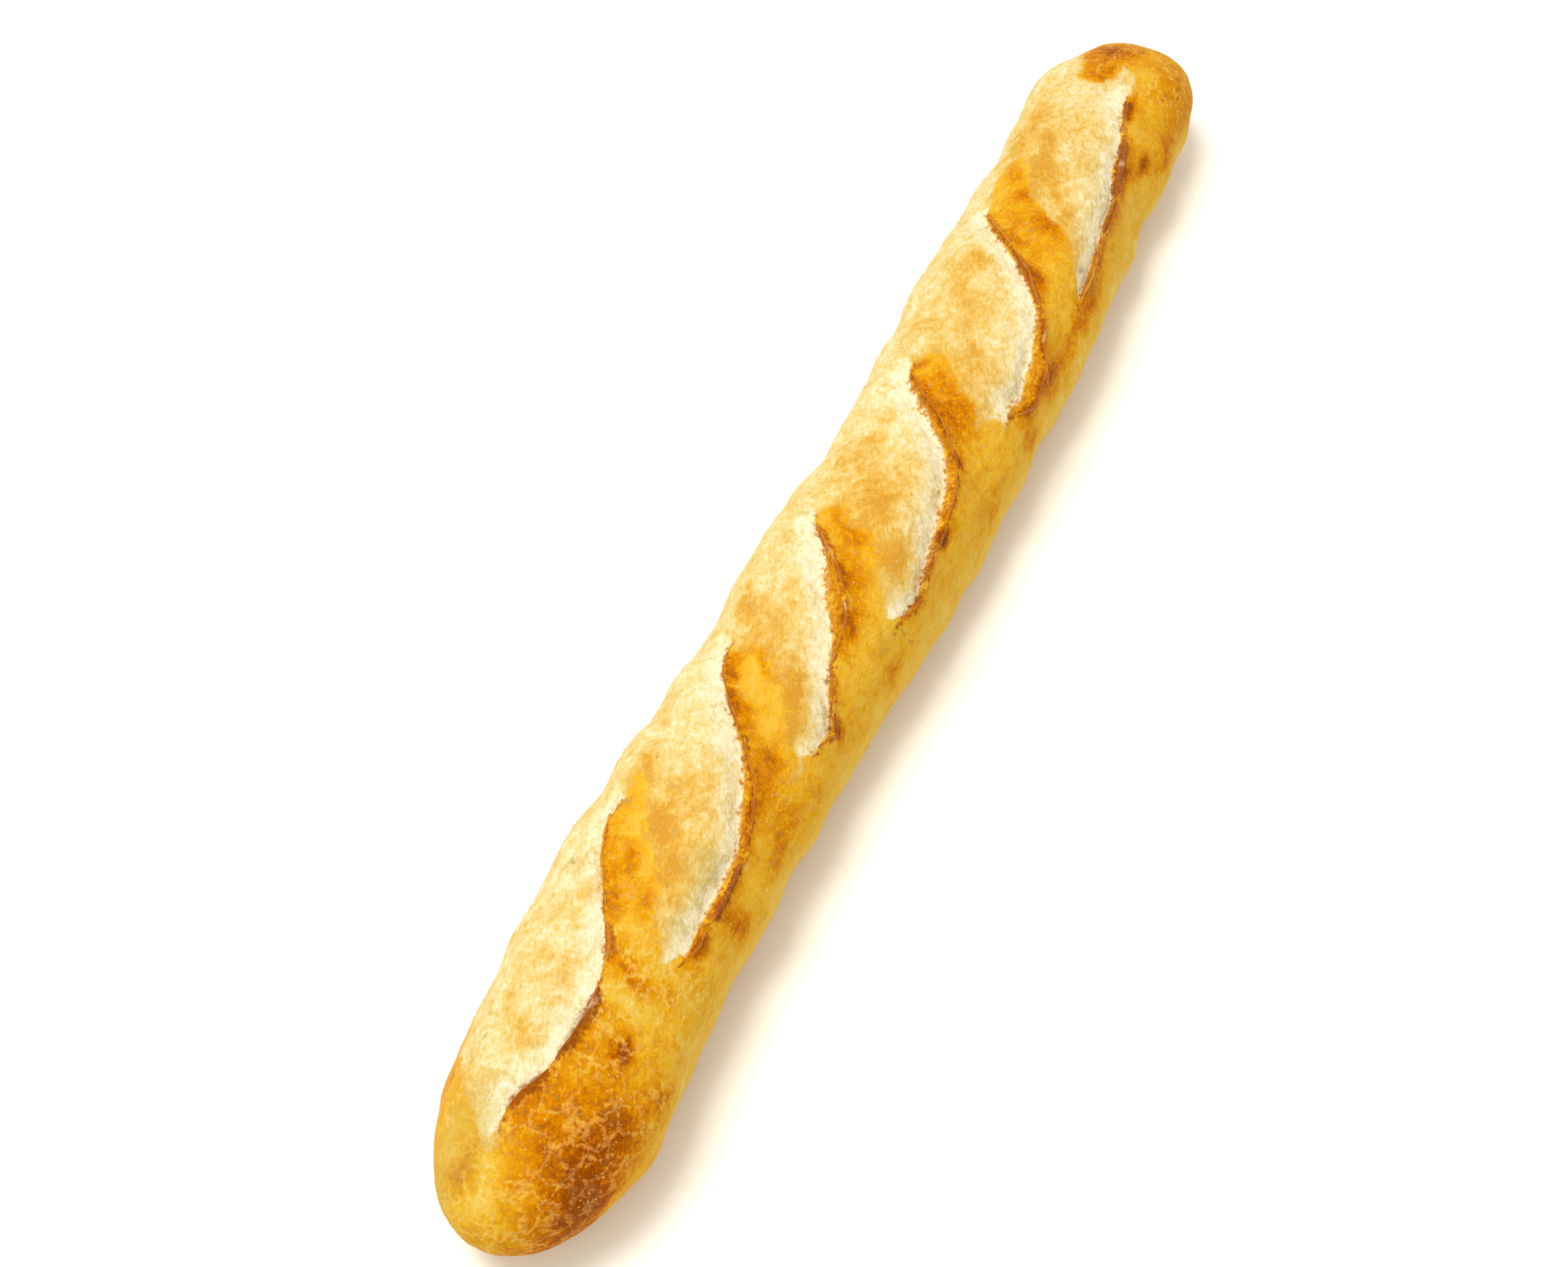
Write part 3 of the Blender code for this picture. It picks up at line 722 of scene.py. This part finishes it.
def paintSkin(skin, aways, walks, under, facing):  # values per point that the materials and the relief mix
    x, girth = skin[:, 0] / mm, skin[:, 1] / mm
    flat = np.column_stack((x, girth, np.zeros(len(x))))
    wander = [paint["warp"] * softNoise(flat, paint["warpSize"], seed) for seed in paint["warpSeeds"]]
    warpedX, warpedGirth = x + wander[0], girth + wander[1]
    points, outline = np.column_stack((x, girth)), doughOutline()
    pale = distanceToChain(points, outline) * np.where(insideChain(points, outline), 1.0, -1.0)
    below = growing(-facing, *paint["underside"])
    pale = np.minimum(pale, paint["undersideDepth"] * (1 - 2 * below))
    pale *= 1 - growing(girth, *paint["leftFlankBlur"])
    torn, chalkAndLift, across, along = besideLips(skin, aways, walks)
    burnDepth, burn, scorch = besideBurns(x, aways)
    crustBake = paint["crustBase"] + patchSum(warpedX, warpedGirth, crustAndShadePatches) + paint["scorch"] * scorch
    crustBake += growing(warpedX, *paint["nearCapBake"]) + growing(warpedX, *paint["farCapBake"])
    # paler low right flank: less bake, and painted light from the floor
    crustBake += growing(warpedGirth, *paint["rightFlankFadeAndLight"])
    crustBake += (paint["undersideBake"] - crustBake) * below
    sides = [np.array(side, float) for side in doughBorder.values()]
    toStrip = np.min([distanceToChain(points, side) for side in sides], axis=0)
    toast = paint["toast"] * np.exp(-toStrip / paint["toastReach"]) * (girth < paint["toastUpTo"])
    # painted light: beside a groove the dough is made lighter against the groove's shade, as well as staying
    # white where it stretched
    chalkedAndLifted = smoothStep(chalkAndLift / paint["chalkAndLiftFull"])
    doughBake = paint["doughGold"] * patchSum(warpedX, warpedGirth, doughPatches) + toast * (1 - chalkAndLift)
    doughBake += paint["unchalked"] * (1 - chalkedAndLifted) + paint["chalkedAndLifted"] * chalkedAndLifted
    doughBake += growing(girth, *paint["leftFlankGold"])
    veins = growing(x, *paint["nearVeins"]) * growing(girth, *paint["nearVeinsAbove"])
    veins = np.maximum.reduce([veins, growing(x, *paint["farVeins"]), patchSum(x, girth, veinPatches)])
    free = smoothStep((1 - np.abs(girth) / np.abs(girth).max()) / paint["calmEdge"]) * (1 - below) * ~under
    onCrust = 1 - smoothStep(pale / paint["doughEdge"] + 0.5)
    onTear = smoothStep(torn / paint["tearEdge"] + 0.5)
    depths = {"pale": pale, "torn": torn, "burnDepth": burnDepth}
    first, last = paint["blisterGirths"]
    blistered = (girth > first) * (girth < last) * ~under
    for name, gap in paint["blisterGaps"].items():
        blistered = blistered * (depths[name] < -gap)
    return {
        "pale": pale * (1 + paint["crispEdge"] * chalkAndLift), "across": across, "along": along, "torn": torn,
        "fuzz": growing(chalkAndLift, *paint["fuzz"]) * (1 - onTear), "burn": burn, "burnDepth": burnDepth,
        "crustBake": crustBake, "doughBake": doughBake, "veins": veins * (1 - below),
        "holes": patchSum(x, girth, [(*pore, 1.0) for pore in pores]),
        "olive": patchSum(warpedX, warpedGirth, olivePatches),
        "lumps": free * (1 - onTear) * (1 - paint["calmedLumps"] * onCrust),
        "wrinkles": free * (1 - onTear) * (1 - paint["calmedWrinkles"] * onCrust),
        "layers": free * onTear,
        "blisters": blistered,
    }


def addValues(mesh, values):
    for name, column in values.items():
        mesh.attributes.new(name, "FLOAT", "POINT").data.foreach_set("value", np.asarray(column, np.float32))


crust = newMesh("crust", places, faces)
normals = np.empty(places.size, np.float32)
crust.data.vertices.foreach_get("normal", normals)
painted = paintSkin(skin, aways, walks, under, normals.reshape(-1, 3)[:, 2])
addValues(crust.data, painted)
print("skin painted:", ", ".join(painted))


# Baked wheat crust, never glazed: a thin dry skin that browned in the oven's heat, matt with a faint sheen
# where the starch has set. It gives the eye orange gold on the raised strips, red brown on the burnt edges,
# and a chalky cream where the slashes opened late and the dough inside only just dried. Beside the grooves
# that cream is painted lighter still, as painted light against their shade.
crustLook = {
    "name": "baked wheat crust, unglazed",
    "painted": ["pale", "across", "along", "torn", "fuzz", "burn", "burnDepth", "crustBake", "doughBake",
                "holes", "veins", "olive"],
    "normalize": False,
    "noises": {  # size in mm, detail, roughness, distortion; each gives about -0.5 to 0.5
        "blotch": (16.0, 2.0, 0.5, 0.0),
        "mottle": (5.5, 4.0, 0.6, 0.6),
        "curd": (2.6, 3.0, 0.6, 0.4),
        "speckle": (1.3, 3.0, 0.6, 0.2),
        "grain": (0.5, 2.0, 0.5, 0.0),  # real crust grain is about 0.2 mm, drawn coarser so that it shows
        "thread": (4.0, 3.0, 0.6, 1.5),
    },
    "streaks": {  # noise drawn out beside a lip or along turned lines: size along, size across, distortion
        "fibre": ("lips", 0.9, 3.6, 0.8),
        "dash": ("lips", 0.7, 2.0, 0.6),
        "layer": ("lips", 9.0, 0.8, 1.2),
        "stroke": ("turned", 3.4, 0.9, 0.4),  # short strokes of the stretched skin
    },
    "streakDetail": 3.0,  # of the streaks, and of the wobble in the veins
    "streakRoughness": 0.6,
    "strokeTurn": 28.0,  # degrees
    "veinSize": 8.0,
    "veinWobble": 0.014,
    "veinWobbleSize": 9.0,
    # a sum adds weighted parts to a value; a mask has the value's two ends, and what it gives at each
    "steps": {
        # ragged border between crust and dough: wide teeth on the strips, fine ones by the lips
        "fuzzyFibre": ("mask", "fibre", -0.1, 0.8, 0.0, "fuzz"),
        "border": ("sum", "pale", {"mottle": 1.5, "curd": 1.4, "speckle": 0.8, "fuzzyFibre": 1.0}),
        "isDough": ("mask", "border", -1.0, 1.1, 0.0, 1.0),
        # crust: painted bake, mottled, with pale starch veins near the ends and whitish wisps
        "veinWidth": ("sum", "cracks", {"speckle": 0.05, "curd": 0.05}),
        "vein": ("mask", "veinWidth", -0.03, 0.13, "veins", 0.0),
        "veinPatch": ("sum", "blotch", {"mottle": 0.5}),
        "veinShows": ("mask", "veinPatch", -0.55, 0.05, 0.0, "vein"),
        "crustTone": ("sum", "crustBake", {"blotch": 0.055, "mottle": 0.14, "curd": 0.11, "speckle": 0.11,
                                           "grain": 0.08, "stroke": 0.10, "veinShows": -0.18}),
        "veinPaste": ("mask", "veinShows", 0.0, 1.0, 0.0, 0.14),
        "wispTone": ("sum", "curd", {"thread": 0.6, "speckle": 0.7, "grain": 0.4, "stroke": 0.8,
                                     "crustTone": -1.6}),
        "wisp": ("mask", "wispTone", -0.65, 0.35, 0.0, 0.42),
        # dough: chalky beside the groove, and painted lighter there against its shade; golden on the swell,
        # crossed by thin white threads
        "doughTone": ("sum", "doughBake", {"blotch": 0.08, "mottle": 0.20, "curd": 0.13, "speckle": 0.09,
                                           "grain": 0.10, "stroke": 0.15, "fuzzyFibre": 0.12}),
        "threadLine": ("absolute", "thread"),
        "threadShows": ("mask", "speckle", -0.1, 0.5, 0.0, 0.5),
        "threads": ("mask", "threadLine", 0.0, 0.09, "threadShows", 0.0),
        "oliveTone": ("sum", "olive", {"mottle": 0.4, "speckle": 0.4, "stroke": 0.4}),
        "isOlive": ("mask", "oliveTone", 0.1, 0.9, 0.0, 0.42),
        "dashTone": ("sum", "dash", {"mottle": 0.5, "fuzz": 0.3}),
        "dashes": ("mask", "dashTone", 0.8, 1.2, 0.0, 0.35),
        # torn face between the crest and the groove, in layers
        "tornShade": ("mask", "across", 0.2, 4.0, 0.55, 0.2),
        "tornTone": ("sum", "tornShade", {"layer": 0.22, "speckle": 0.3, "curd": 0.3, "crustBake": 0.25}),
        "tornEdge": ("sum", "torn", {"speckle": 0.8, "curd": 1.2, "mottle": 1.0}),
        "isTorn": ("mask", "tornEdge", -0.6, 1.3, 0.0, 0.9),
        # burnt edges, small holes
        "burnEdge": ("sum", "burnDepth", {"speckle": 0.5, "curd": 0.5, "layer": 0.3}),
        "isBurnt": ("mask", "burnEdge", -1.0, 0.8, 0.0, 0.8),
        "burnTone": ("sum", "burn", {"layer": 0.25, "speckle": 0.2}),
        "holeEdge": ("sum", "holes", {"speckle": 0.25, "grain": 0.2}),
        "isHole": ("mask", "holeEdge", 0.25, 0.9, 0.0, 0.55),
        "height": ("sum", "curd", {"speckle": 0.5, "grain": 0.25, "fuzzyFibre": 0.5}),
        "dryness": ("mask", "isDough", 0.0, 1.0, 0.5, 0.85),
    },
    "ramps": {
        "crustColour": ("crustTone", [
            (0.0, "#d6bb64"), (0.2, "#d4aa38"), (0.42, "#d19c1e"), (0.58, "#c98706"), (0.72, "#bf7300"),
            (0.86, "#a95a00"), (1.0, "#884000"),
        ]),
        "doughColour": ("doughTone", [
            (0.0, "#e5d7b1"), (0.14, "#dccda0"), (0.27, "#d8c48e"), (0.4, "#d4b977"), (0.57, "#cfab5a"),
            (0.75, "#c99a3c"), (0.95, "#c18826"),
        ]),
        "tornColour": ("tornTone", [(0.0, "#cb9b38"), (0.3, "#c07e12"), (0.65, "#af6804"), (1.0, "#955003")]),
        "burnColour": ("burnTone", [(0.0, "#b76c0b"), (0.5, "#9c5006"), (1.0, "#783606")]),
    },
    "layers": {  # a colour, and the ones laid over it where their masks say
        "crust": ("crustColour", [("veinPaste", "#d9b984"), ("wisp", "#dab55c"), ("isOlive", "#ae923f")]),
        "dough": ("doughColour", [("threads", "#dbcb9f"), ("isOlive", "#b8a765"), ("dashes", "#a6976f")]),
        "colour": ("crust", [("isDough", "dough"), ("isTorn", "tornColour"), ("isBurnt", "burnColour"),
                             ("isHole", "#857a42")]),
    },
    "bump": {"Strength": 0.4, "Distance": 0.0003},
    "roughness": "dryness",
    "gloss": 0.015,
}


def layColours(tree, found, colour, covers):
    for mask, cover in covers:
        above = found[cover] if cover in found else linear(cover)
        entries = {"data_type": "RGBA", 0: found[mask], 6: colour, 7: above}
        colour = addNode(tree, "ShaderNodeMix", entries).outputs[2]
    return colour


def takeSteps(tree, found, steps):  # sums, masks and other maths, each from what was found before it
    for name, (step, *rest) in steps.items():
        result, *rest = (found.get(value, value) if isinstance(value, str) else value for value in rest)
        if step == "sum":
            for part, weight in rest[0].items():
                entries = {"operation": "MULTIPLY_ADD", 0: found[part], 1: weight, 2: result}
                result = addNode(tree, "ShaderNodeMath", entries)
        elif step == "mask":
            entries = {"interpolation_type": "SMOOTHSTEP", "Value": result}
            entries.update(zip(("From Min", "From Max", "To Min", "To Max"), rest))
            result = addNode(tree, "ShaderNodeMapRange", entries)
        else:
            entries = {"operation": step.upper(), **dict(enumerate((result, *rest)))}
            result = addNode(tree, "ShaderNodeMath", entries)
        found[name] = result


def addStreaks(tree, found, place, look):  # noises in the lips' own millimetres or along turned lines
    lipPlace = addNode(tree, "ShaderNodeCombineXYZ", {"X": found["along"], "Y": found["across"]})
    turn = {"rotation_type": "Z_AXIS", "Vector": place, "Angle": -math.radians(look["strokeTurn"])}
    spaces = {"lips": (lipPlace, 1.0), "turned": (addNode(tree, "ShaderNodeVectorRotate", turn), mm)}
    for name, (space, alongSize, acrossSize, distortion) in look["streaks"].items():
        source, unit = spaces[space]
        scales = [1 / (size * unit) for size in (alongSize, acrossSize, acrossSize)]
        drawnOut = addNode(tree, "ShaderNodeVectorMath", {"operation": "MULTIPLY", 0: source, 1: scales})
        found[name] = addNode(tree, "ShaderNodeTexNoise", {
            "normalize": False, "Vector": drawnOut, "Scale": 1.0, "Detail": look["streakDetail"],
            "Roughness": look["streakRoughness"], "Distortion": distortion,
        })


def addVeins(tree, found, place, look):  # distance to the edges of wobbly cells
    wobble = addNode(tree, "ShaderNodeTexNoise", {
        "Vector": place, "Scale": 1 / (look["veinWobbleSize"] * mm), "Detail": look["streakDetail"],
        "Roughness": look["streakRoughness"],
    }).outputs["Color"]
    shift = {"operation": "MULTIPLY_ADD", 0: wobble, 1: [look["veinWobble"]] * 3, 2: place}
    found["cracks"] = addNode(tree, "ShaderNodeTexVoronoi", {
        "feature": "DISTANCE_TO_EDGE", "Vector": addNode(tree, "ShaderNodeVectorMath", shift),
        "Scale": 1 / (look["veinSize"] * mm),
    })


def bakeMaterial(look, extras=()):  # painted values and noises, the steps from them, and the colours they mix
    material = bpy.data.materials.new(look["name"])
    material.use_nodes = True
    tree = material.node_tree
    place = addNode(tree, "ShaderNodeTexCoord").outputs["Object"]
    found = {}
    for name in look["painted"]:
        found[name] = addNode(tree, "ShaderNodeAttribute", {"attribute_name": name}).outputs["Fac"]
    for name, (size, detail, roughness, distortion) in look["noises"].items():
        found[name] = addNode(tree, "ShaderNodeTexNoise", {
            "normalize": look["normalize"], "Vector": place, "Scale": 1 / (size * mm), "Detail": detail,
            "Roughness": roughness, "Distortion": distortion,
        })
    for addExtra in extras:
        addExtra(tree, found, place, look)
    takeSteps(tree, found, look["steps"])
    for name, (source, stops) in look["ramps"].items():
        found[name] = setStops(addNode(tree, "ShaderNodeValToRGB", {"Fac": found[source]}), stops)
    for name, (under, covers) in look["layers"].items():
        found[name] = layColours(tree, found, found[under], covers)
    shader = setNode(tree, tree.nodes["Principled BSDF"], {
        "Base Color": found["colour"],
        "Roughness": found.get(look["roughness"], look["roughness"]),
        "Specular IOR Level": look["gloss"],
    })
    if "bump" in look:
        bump = addNode(tree, "ShaderNodeBump", {"Height": found["height"], **look["bump"]})
        setNode(tree, shader, {"Normal": bump})
    return material


crustMaterial = bakeMaterial(crustLook, (addStreaks, addVeins))


# Relief of the skin: lumps and wrinkles of the dough, layers of the torn faces, pits of the pores.
skinRelief = {
    "Lump Size": 0.0090,
    "Lump Rise": 0.00035,
    "Wrinkle Size": 0.0026,
    "Wrinkle Rise": 0.00020,
    "Layer Length": 4.0,  # in the lips' own millimetres
    "Layer Width": 1.6,
    "Layer Rise": 0.00028,
    "Pit Depth": 0.0006,
    "lumpDetail": 1.0,
}


def pushOut(tree, geometry, rise):  # moves every point along its normal
    normal = addNode(tree, "GeometryNodeInputNormal")
    offset = addNode(tree, "ShaderNodeVectorMath", {"operation": "SCALE", 0: normal, "Scale": rise})
    return addNode(tree, "GeometryNodeSetPosition", {"Geometry": geometry, "Offset": offset})


def growRelief(thing):
    painted = ("lumps", "wrinkles", "layers", "holes", "along", "across")
    tree, found = newTree("skin relief", skinRelief, painted)
    takeSteps(tree, found, {
        "lumpScale": ("divide", 1.0, "Lump Size"),
        "wrinkleScale": ("divide", 1.0, "Wrinkle Size"),
        "layerX": ("divide", "along", "Layer Length"),
        "layerY": ("divide", "across", "Layer Width"),
        "pits": ("multiply", "holes", "Pit Depth"),
        "rise": ("multiply", "pits", -1.0),
    })
    lipPlace = addNode(tree, "ShaderNodeCombineXYZ", {"X": found["layerX"], "Y": found["layerY"]})
    patterns = {
        "lumps": ("Lump Rise", {"Detail": skinRelief["lumpDetail"], "Scale": found["lumpScale"]}),
        "wrinkles": ("Wrinkle Rise", {"Detail": skinRelief["lumpDetail"], "Scale": found["wrinkleScale"]}),
        "layers": ("Layer Rise", {"Scale": 1.0, "Vector": lipPlace}),
    }
    for share, (height, pattern) in patterns.items():
        found["noise"] = addNode(tree, "ShaderNodeTexNoise", {"normalize": False, **pattern})
        takeSteps(tree, found, {
            "swing": ("multiply", "noise", height),
            "rise": ("multiply_add", "swing", share, "rise"),
        })
    closeTree(tree, pushOut(tree, found["Geometry"], found["rise"]), found)
    return growNodes(thing, tree, {**skinRelief, "Material": crustMaterial})


growRelief(crust)
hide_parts("baguette")
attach(crust, "root")
print("crust: relief grown and dressed")


# Scorched rims: the crest of every lip is a thin raised edge, thicker where it burnt.
lipRims = {
    "Thickness": 1.0,  # share of the path's own radius
    "Chip Size": 0.0022,
    "Chip Rise": 0.00024,
    "chipDetail": 2.0,
    "step": 0.00045,
    "sides": 8,
    "thin": 0.0001,  # radius where the edge didn't burn
    "stout": 0.66,  # radius of a burnt stretch as a share of its half width
    "sunk": 0.74,  # how deep the middle lies, as a share of the radius
    "thinBurn": 0.15,
    "burnEnds": (5, 5, 0.4),  # mm over which a burnt stretch fades, and what share lies past its ends
    "tipLength": 0.006,
    "tipSection": 0.004,  # share of the section that is left at a tip
    "tipColour": 3.0,  # the colour starts so much faster than the section
    "shinySwell": 0.12,  # a glossy bubble is stouter, and lies less deep
    "shinyLift": 0.22,
}

bubbleAndGlintPlaces = [(0, -199, 4), (2, -43, 2), (2, -28, 1.5), (4, 92, 2), (5, 185, 2)]  # lip, x, half length of a glossy bubble, where the rim also gets a painted highlight


def rimPath(number):  # middle line of one rim with its radius, how burnt it is, and where it swells into a glossy bubble with a painted highlight
    slash, r = slashes[number], lipRims
    x = np.arange(slash["near"] + r["tipLength"] / 2, slash["far"] - r["tipLength"] / 2, r["step"])
    stout, burn, offset, weight, shiny = np.zeros((5, len(x)))
    for lip, first, last, shift, halfWidth, amount in burntEdges:
        if lip == number:
            share = taper(x / mm, first, last, *r["burnEnds"])
            stout = np.maximum(stout, halfWidth * mm * share)
            burn = np.maximum(burn, amount * share)
            offset += shift * mm * share
            weight += share
    # glossy bubbles, which also carry the rim's painted highlights
    for lip, spot, reach in bubbleAndGlintPlaces:
        shiny += bell(x / mm - spot, reach) * (lip == number)
    ends = np.minimum(x - x[0], x[-1] - x) / r["tipLength"]
    radius = np.maximum(r["thin"], r["stout"] * stout) * np.sqrt(np.clip(ends, r["tipSection"], 1.0))
    radius *= 1 + r["shinySwell"] * shiny
    girths = lipLine(slash, x) + offset / np.maximum(weight, 1.0)
    sinks = r["sunk"] * radius * (1 - r["shinyLift"] * shiny)
    path = []
    for place, girth, sunk in zip(x, girths, sinks):
        y, z, _, _, alongY, alongZ = liftSkin(place, np.array([girth]), *upperSection(place), waves)
        path.append((place, y[0] + alongZ[0] * sunk - middle, z[0] - alongY[0] * sunk))
    burn = np.maximum(burn, r["thinBurn"]) * np.clip(ends * r["tipColour"], 0.0, 1.0)
    return np.array(path), radius, burn, shiny


def makeRims():
    paths = [rimPath(number) for number in range(len(slashes))]
    edges, start = [], 0
    for path, *_ in paths:
        edges += [(start + i, start + i + 1) for i in range(len(path) - 1)]
        start += len(path)
    places, thick, scorch, shiny = (np.concatenate(column) for column in zip(*paths))
    mesh = bpy.data.meshes.new("lipRims")
    mesh.from_pydata(places.tolist(), edges, [])
    addValues(mesh, {"thick": thick, "scorch": scorch, "shiny": shiny})
    return newObject("lipRims", mesh)


def growRims(thing, material):
    tree, found = newTree("lip rims", lipRims, ["thick"])
    takeSteps(tree, found, {
        "scale": ("multiply", "thick", "Thickness"),
        "chipScale": ("divide", 1.0, "Chip Size"),
    })
    path = addNode(tree, "GeometryNodeMeshToCurve", {"Mesh": found["Geometry"]})
    around = {"Resolution": lipRims["sides"], "Radius": 1.0}
    section = addNode(tree, "GeometryNodeCurvePrimitiveCircle", around)
    tube = addNode(tree, "GeometryNodeCurveToMesh", {
        "Curve": path, "Profile Curve": section, "Scale": found["scale"], "Fill Caps": True,
    })
    chips = {"normalize": False, "Detail": lipRims["chipDetail"], "Scale": found["chipScale"]}
    found["chips"] = addNode(tree, "ShaderNodeTexNoise", chips)
    takeSteps(tree, found, {"swing": ("multiply", "chips", "Chip Rise")})
    chipped = pushOut(tree, tube, found["swing"])
    closeTree(tree, addNode(tree, "GeometryNodeSetShadeSmooth", {"Geometry": chipped}), found)
    return growNodes(thing, tree, {**lipRims, "Material": material})


# Scorched crust edge: the thin crest of a slash dries first and caramelises, so it is darker than the strip
# behind it and set hard, with a low gloss that catches the light in small glints, and with pale painted
# highlights along it.
rimLook = {
    "name": "scorched crust edge, caramelised",
    "painted": ["scorch", "shiny"],
    "normalize": False,
    "noises": {"chip": (1.1, 3.0, 0.5, 0.0), "streak": (0.4, 3.0, 0.5, 0.0), "glintBreakup": (3.5, 3.0, 0.5, 0.0)},
    "steps": {
        "tone": ("sum", "scorch", {"chip": 0.28, "streak": 0.16}),
        # painted highlight: the rim is painted a pale pinkish cream at the bubbles and in random spots
        "smooth": ("sum", "shiny", {"glintBreakup": 0.5, "chip": 0.3, "streak": 0.3}),
        "paintedGlint": ("mask", "smooth", 0.2, 1.25, 0.0, 0.62),
        "height": ("sum", "streak", {}),
    },
    "ramps": {"baked": ("tone", [(0.0, "#cd942a"), (0.3, "#c47f0d"), (0.6, "#b66a05"), (0.85, "#a25503"),
                                 (1.0, "#8a4404")])},
    # the pale cover is a painted highlight
    "layers": {"colour": ("baked", [("paintedGlint", "#d2ab84")])},
    "bump": {"Strength": 0.5, "Distance": 0.0002},
    "roughness": 0.36,
    "gloss": 0.2,
}

rims = growRims(makeRims(), bakeMaterial(rimLook))
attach(rims, "root")
print("rims:", len(rims.data.polygons), "faces along", len(slashes), "lips")


# Blisters: tiny bubbles of set starch all over the browned skin.
blisterSizes = {
    "Spacing": 0.0018,
    "Density": 34000.0,  # to the square metre
    "Smallest": 0.00016,
    "Largest": 0.00036,
    "Flatness": 0.6,
    "placeSeed": 5,
    "sizeSeed": 6,
    "subdivisions": 1,
    "facesEach": 20,  # an icosahedron's
}


def growBlisters(thing, material):
    tree, found = newTree("starch blisters", blisterSizes, ["blisters"])
    spread = addNode(tree, "GeometryNodeDistributePointsOnFaces", {
        "distribute_method": "POISSON", "Seed": blisterSizes["placeSeed"], "Mesh": found["Geometry"],
        "Distance Min": found["Spacing"], "Density Max": found["Density"],
        "Density Factor": found["blisters"],
    }).outputs
    ball = {"Radius": 1.0, "Subdivisions": blisterSizes["subdivisions"]}
    bubble = addNode(tree, "GeometryNodeMeshIcoSphere", ball)
    found["size"] = addNode(tree, "FunctionNodeRandomValue", {
        "data_type": "FLOAT", "Seed": blisterSizes["sizeSeed"], 2: found["Smallest"], 3: found["Largest"],
    }).outputs[1]
    takeSteps(tree, found, {"flat": ("multiply", "size", "Flatness")})
    scale = {"X": found["size"], "Y": found["size"], "Z": found["flat"]}
    bubbles = addNode(tree, "GeometryNodeInstanceOnPoints", {
        "Points": spread["Points"], "Instance": bubble, "Rotation": spread["Rotation"],
        "Scale": addNode(tree, "ShaderNodeCombineXYZ", scale),
    })
    real = addNode(tree, "GeometryNodeRealizeInstances", {"Geometry": bubbles})
    closeTree(tree, addNode(tree, "GeometryNodeSetShadeSmooth", {"Geometry": real}), found)
    return growNodes(thing, tree, {**blisterSizes, "Material": material})


# Set starch: bubbles of paste that burst out of the skin in the first steam and dried clear, paler than the
# crust and smooth enough to glint.
starchLook = {
    "name": "dried starch, blistered",
    "painted": [],
    "normalize": True,
    "noises": {"tone": (2.5, 2.0, 0.5, 0.0)},
    "steps": {},
    "ramps": {"colour": ("tone", [(0.3, "#ce9426"), (0.5, "#d5a847"), (0.7, "#dbc081")])},
    "layers": {},
    "roughness": 0.3,
    "gloss": 0.4,
}

blisters = newObject("blisters", crust.data.copy())
growBlisters(blisters, bakeMaterial(starchLook))
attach(blisters, "root")
print("blisters:", len(blisters.data.polygons) // blisterSizes["facesEach"])


# Studio: pale floor, soft light, the photograph's viewing angle.
studio = {
    "floorSize": 40.0,
    "floorColour": "#faf8ea",
    "floorRoughness": 0.9,
    "floorGap": 0.0001,  # keeps the floor just below the underside
    "worldColour": "#ffffff",
    "worldStrength": 0.82,
    "keySize": 0.8,
    "keyPower": 27.0,
    "keyPlace": (-0.2, 0.5, 1.75),
    "azimuth": -63.927,
    "elevation": 57.392,
    "target": (-0.04263, 0.01204 - middle, 0.02407),
    "distance": 0.7296,
    "lens": 50.0,
    "sensorWidth": 36.0,
    "nearestSeen": 0.01,
}


def makeFloor():  # matt paper
    half = studio["floorSize"] / 2
    corners = [(x * half, y * half, -studio["floorGap"]) for x, y in ((-1, -1), (1, -1), (1, 1), (-1, 1))]
    floor = newMesh("floor", np.array(corners), np.array([(0, 1, 2), (0, 2, 3)]))
    paper = bpy.data.materials.new("matte white paper")
    paper.use_nodes = True
    look = {"Base Color": linear(studio["floorColour"]), "Roughness": studio["floorRoughness"]}
    setNode(paper.node_tree, paper.node_tree.nodes["Principled BSDF"], look)
    floor.data.materials.append(paper)
    return floor


def makeLight():
    world = bpy.data.worlds.new("studio")
    world.use_nodes = True
    bpy.context.scene.world = world
    sky = {"Color": linear(studio["worldColour"]), "Strength": studio["worldStrength"]}
    setNode(world.node_tree, world.node_tree.nodes["Background"], sky)
    key = newObject("key", bpy.data.lights.new("key", "AREA"))
    key.data.size = studio["keySize"]
    key.data.energy = studio["keyPower"]
    key.location = studio["keyPlace"]
    key.rotation_euler = Vector(studio["keyPlace"]).to_track_quat("Z", "Y").to_euler()


def makeCamera():
    camera = newObject("camera", bpy.data.cameras.new("camera"))
    camera.data.lens = studio["lens"]
    camera.data.sensor_width = studio["sensorWidth"]
    camera.data.clip_start = studio["nearestSeen"]
    azimuth, elevation = math.radians(studio["azimuth"]), math.radians(studio["elevation"])
    out = math.cos(elevation)
    back = Vector((math.sin(azimuth) * out, -math.cos(azimuth) * out, math.sin(elevation)))
    camera.location = Vector(studio["target"]) + back * studio["distance"]
    camera.rotation_euler = (-back).to_track_quat("-Z", "Y").to_euler()
    bpy.context.scene.camera = camera
    bpy.context.scene.view_settings.view_transform = "Standard"


floor = makeFloor()
makeLight()
makeCamera()
print("studio: floor, light and camera")
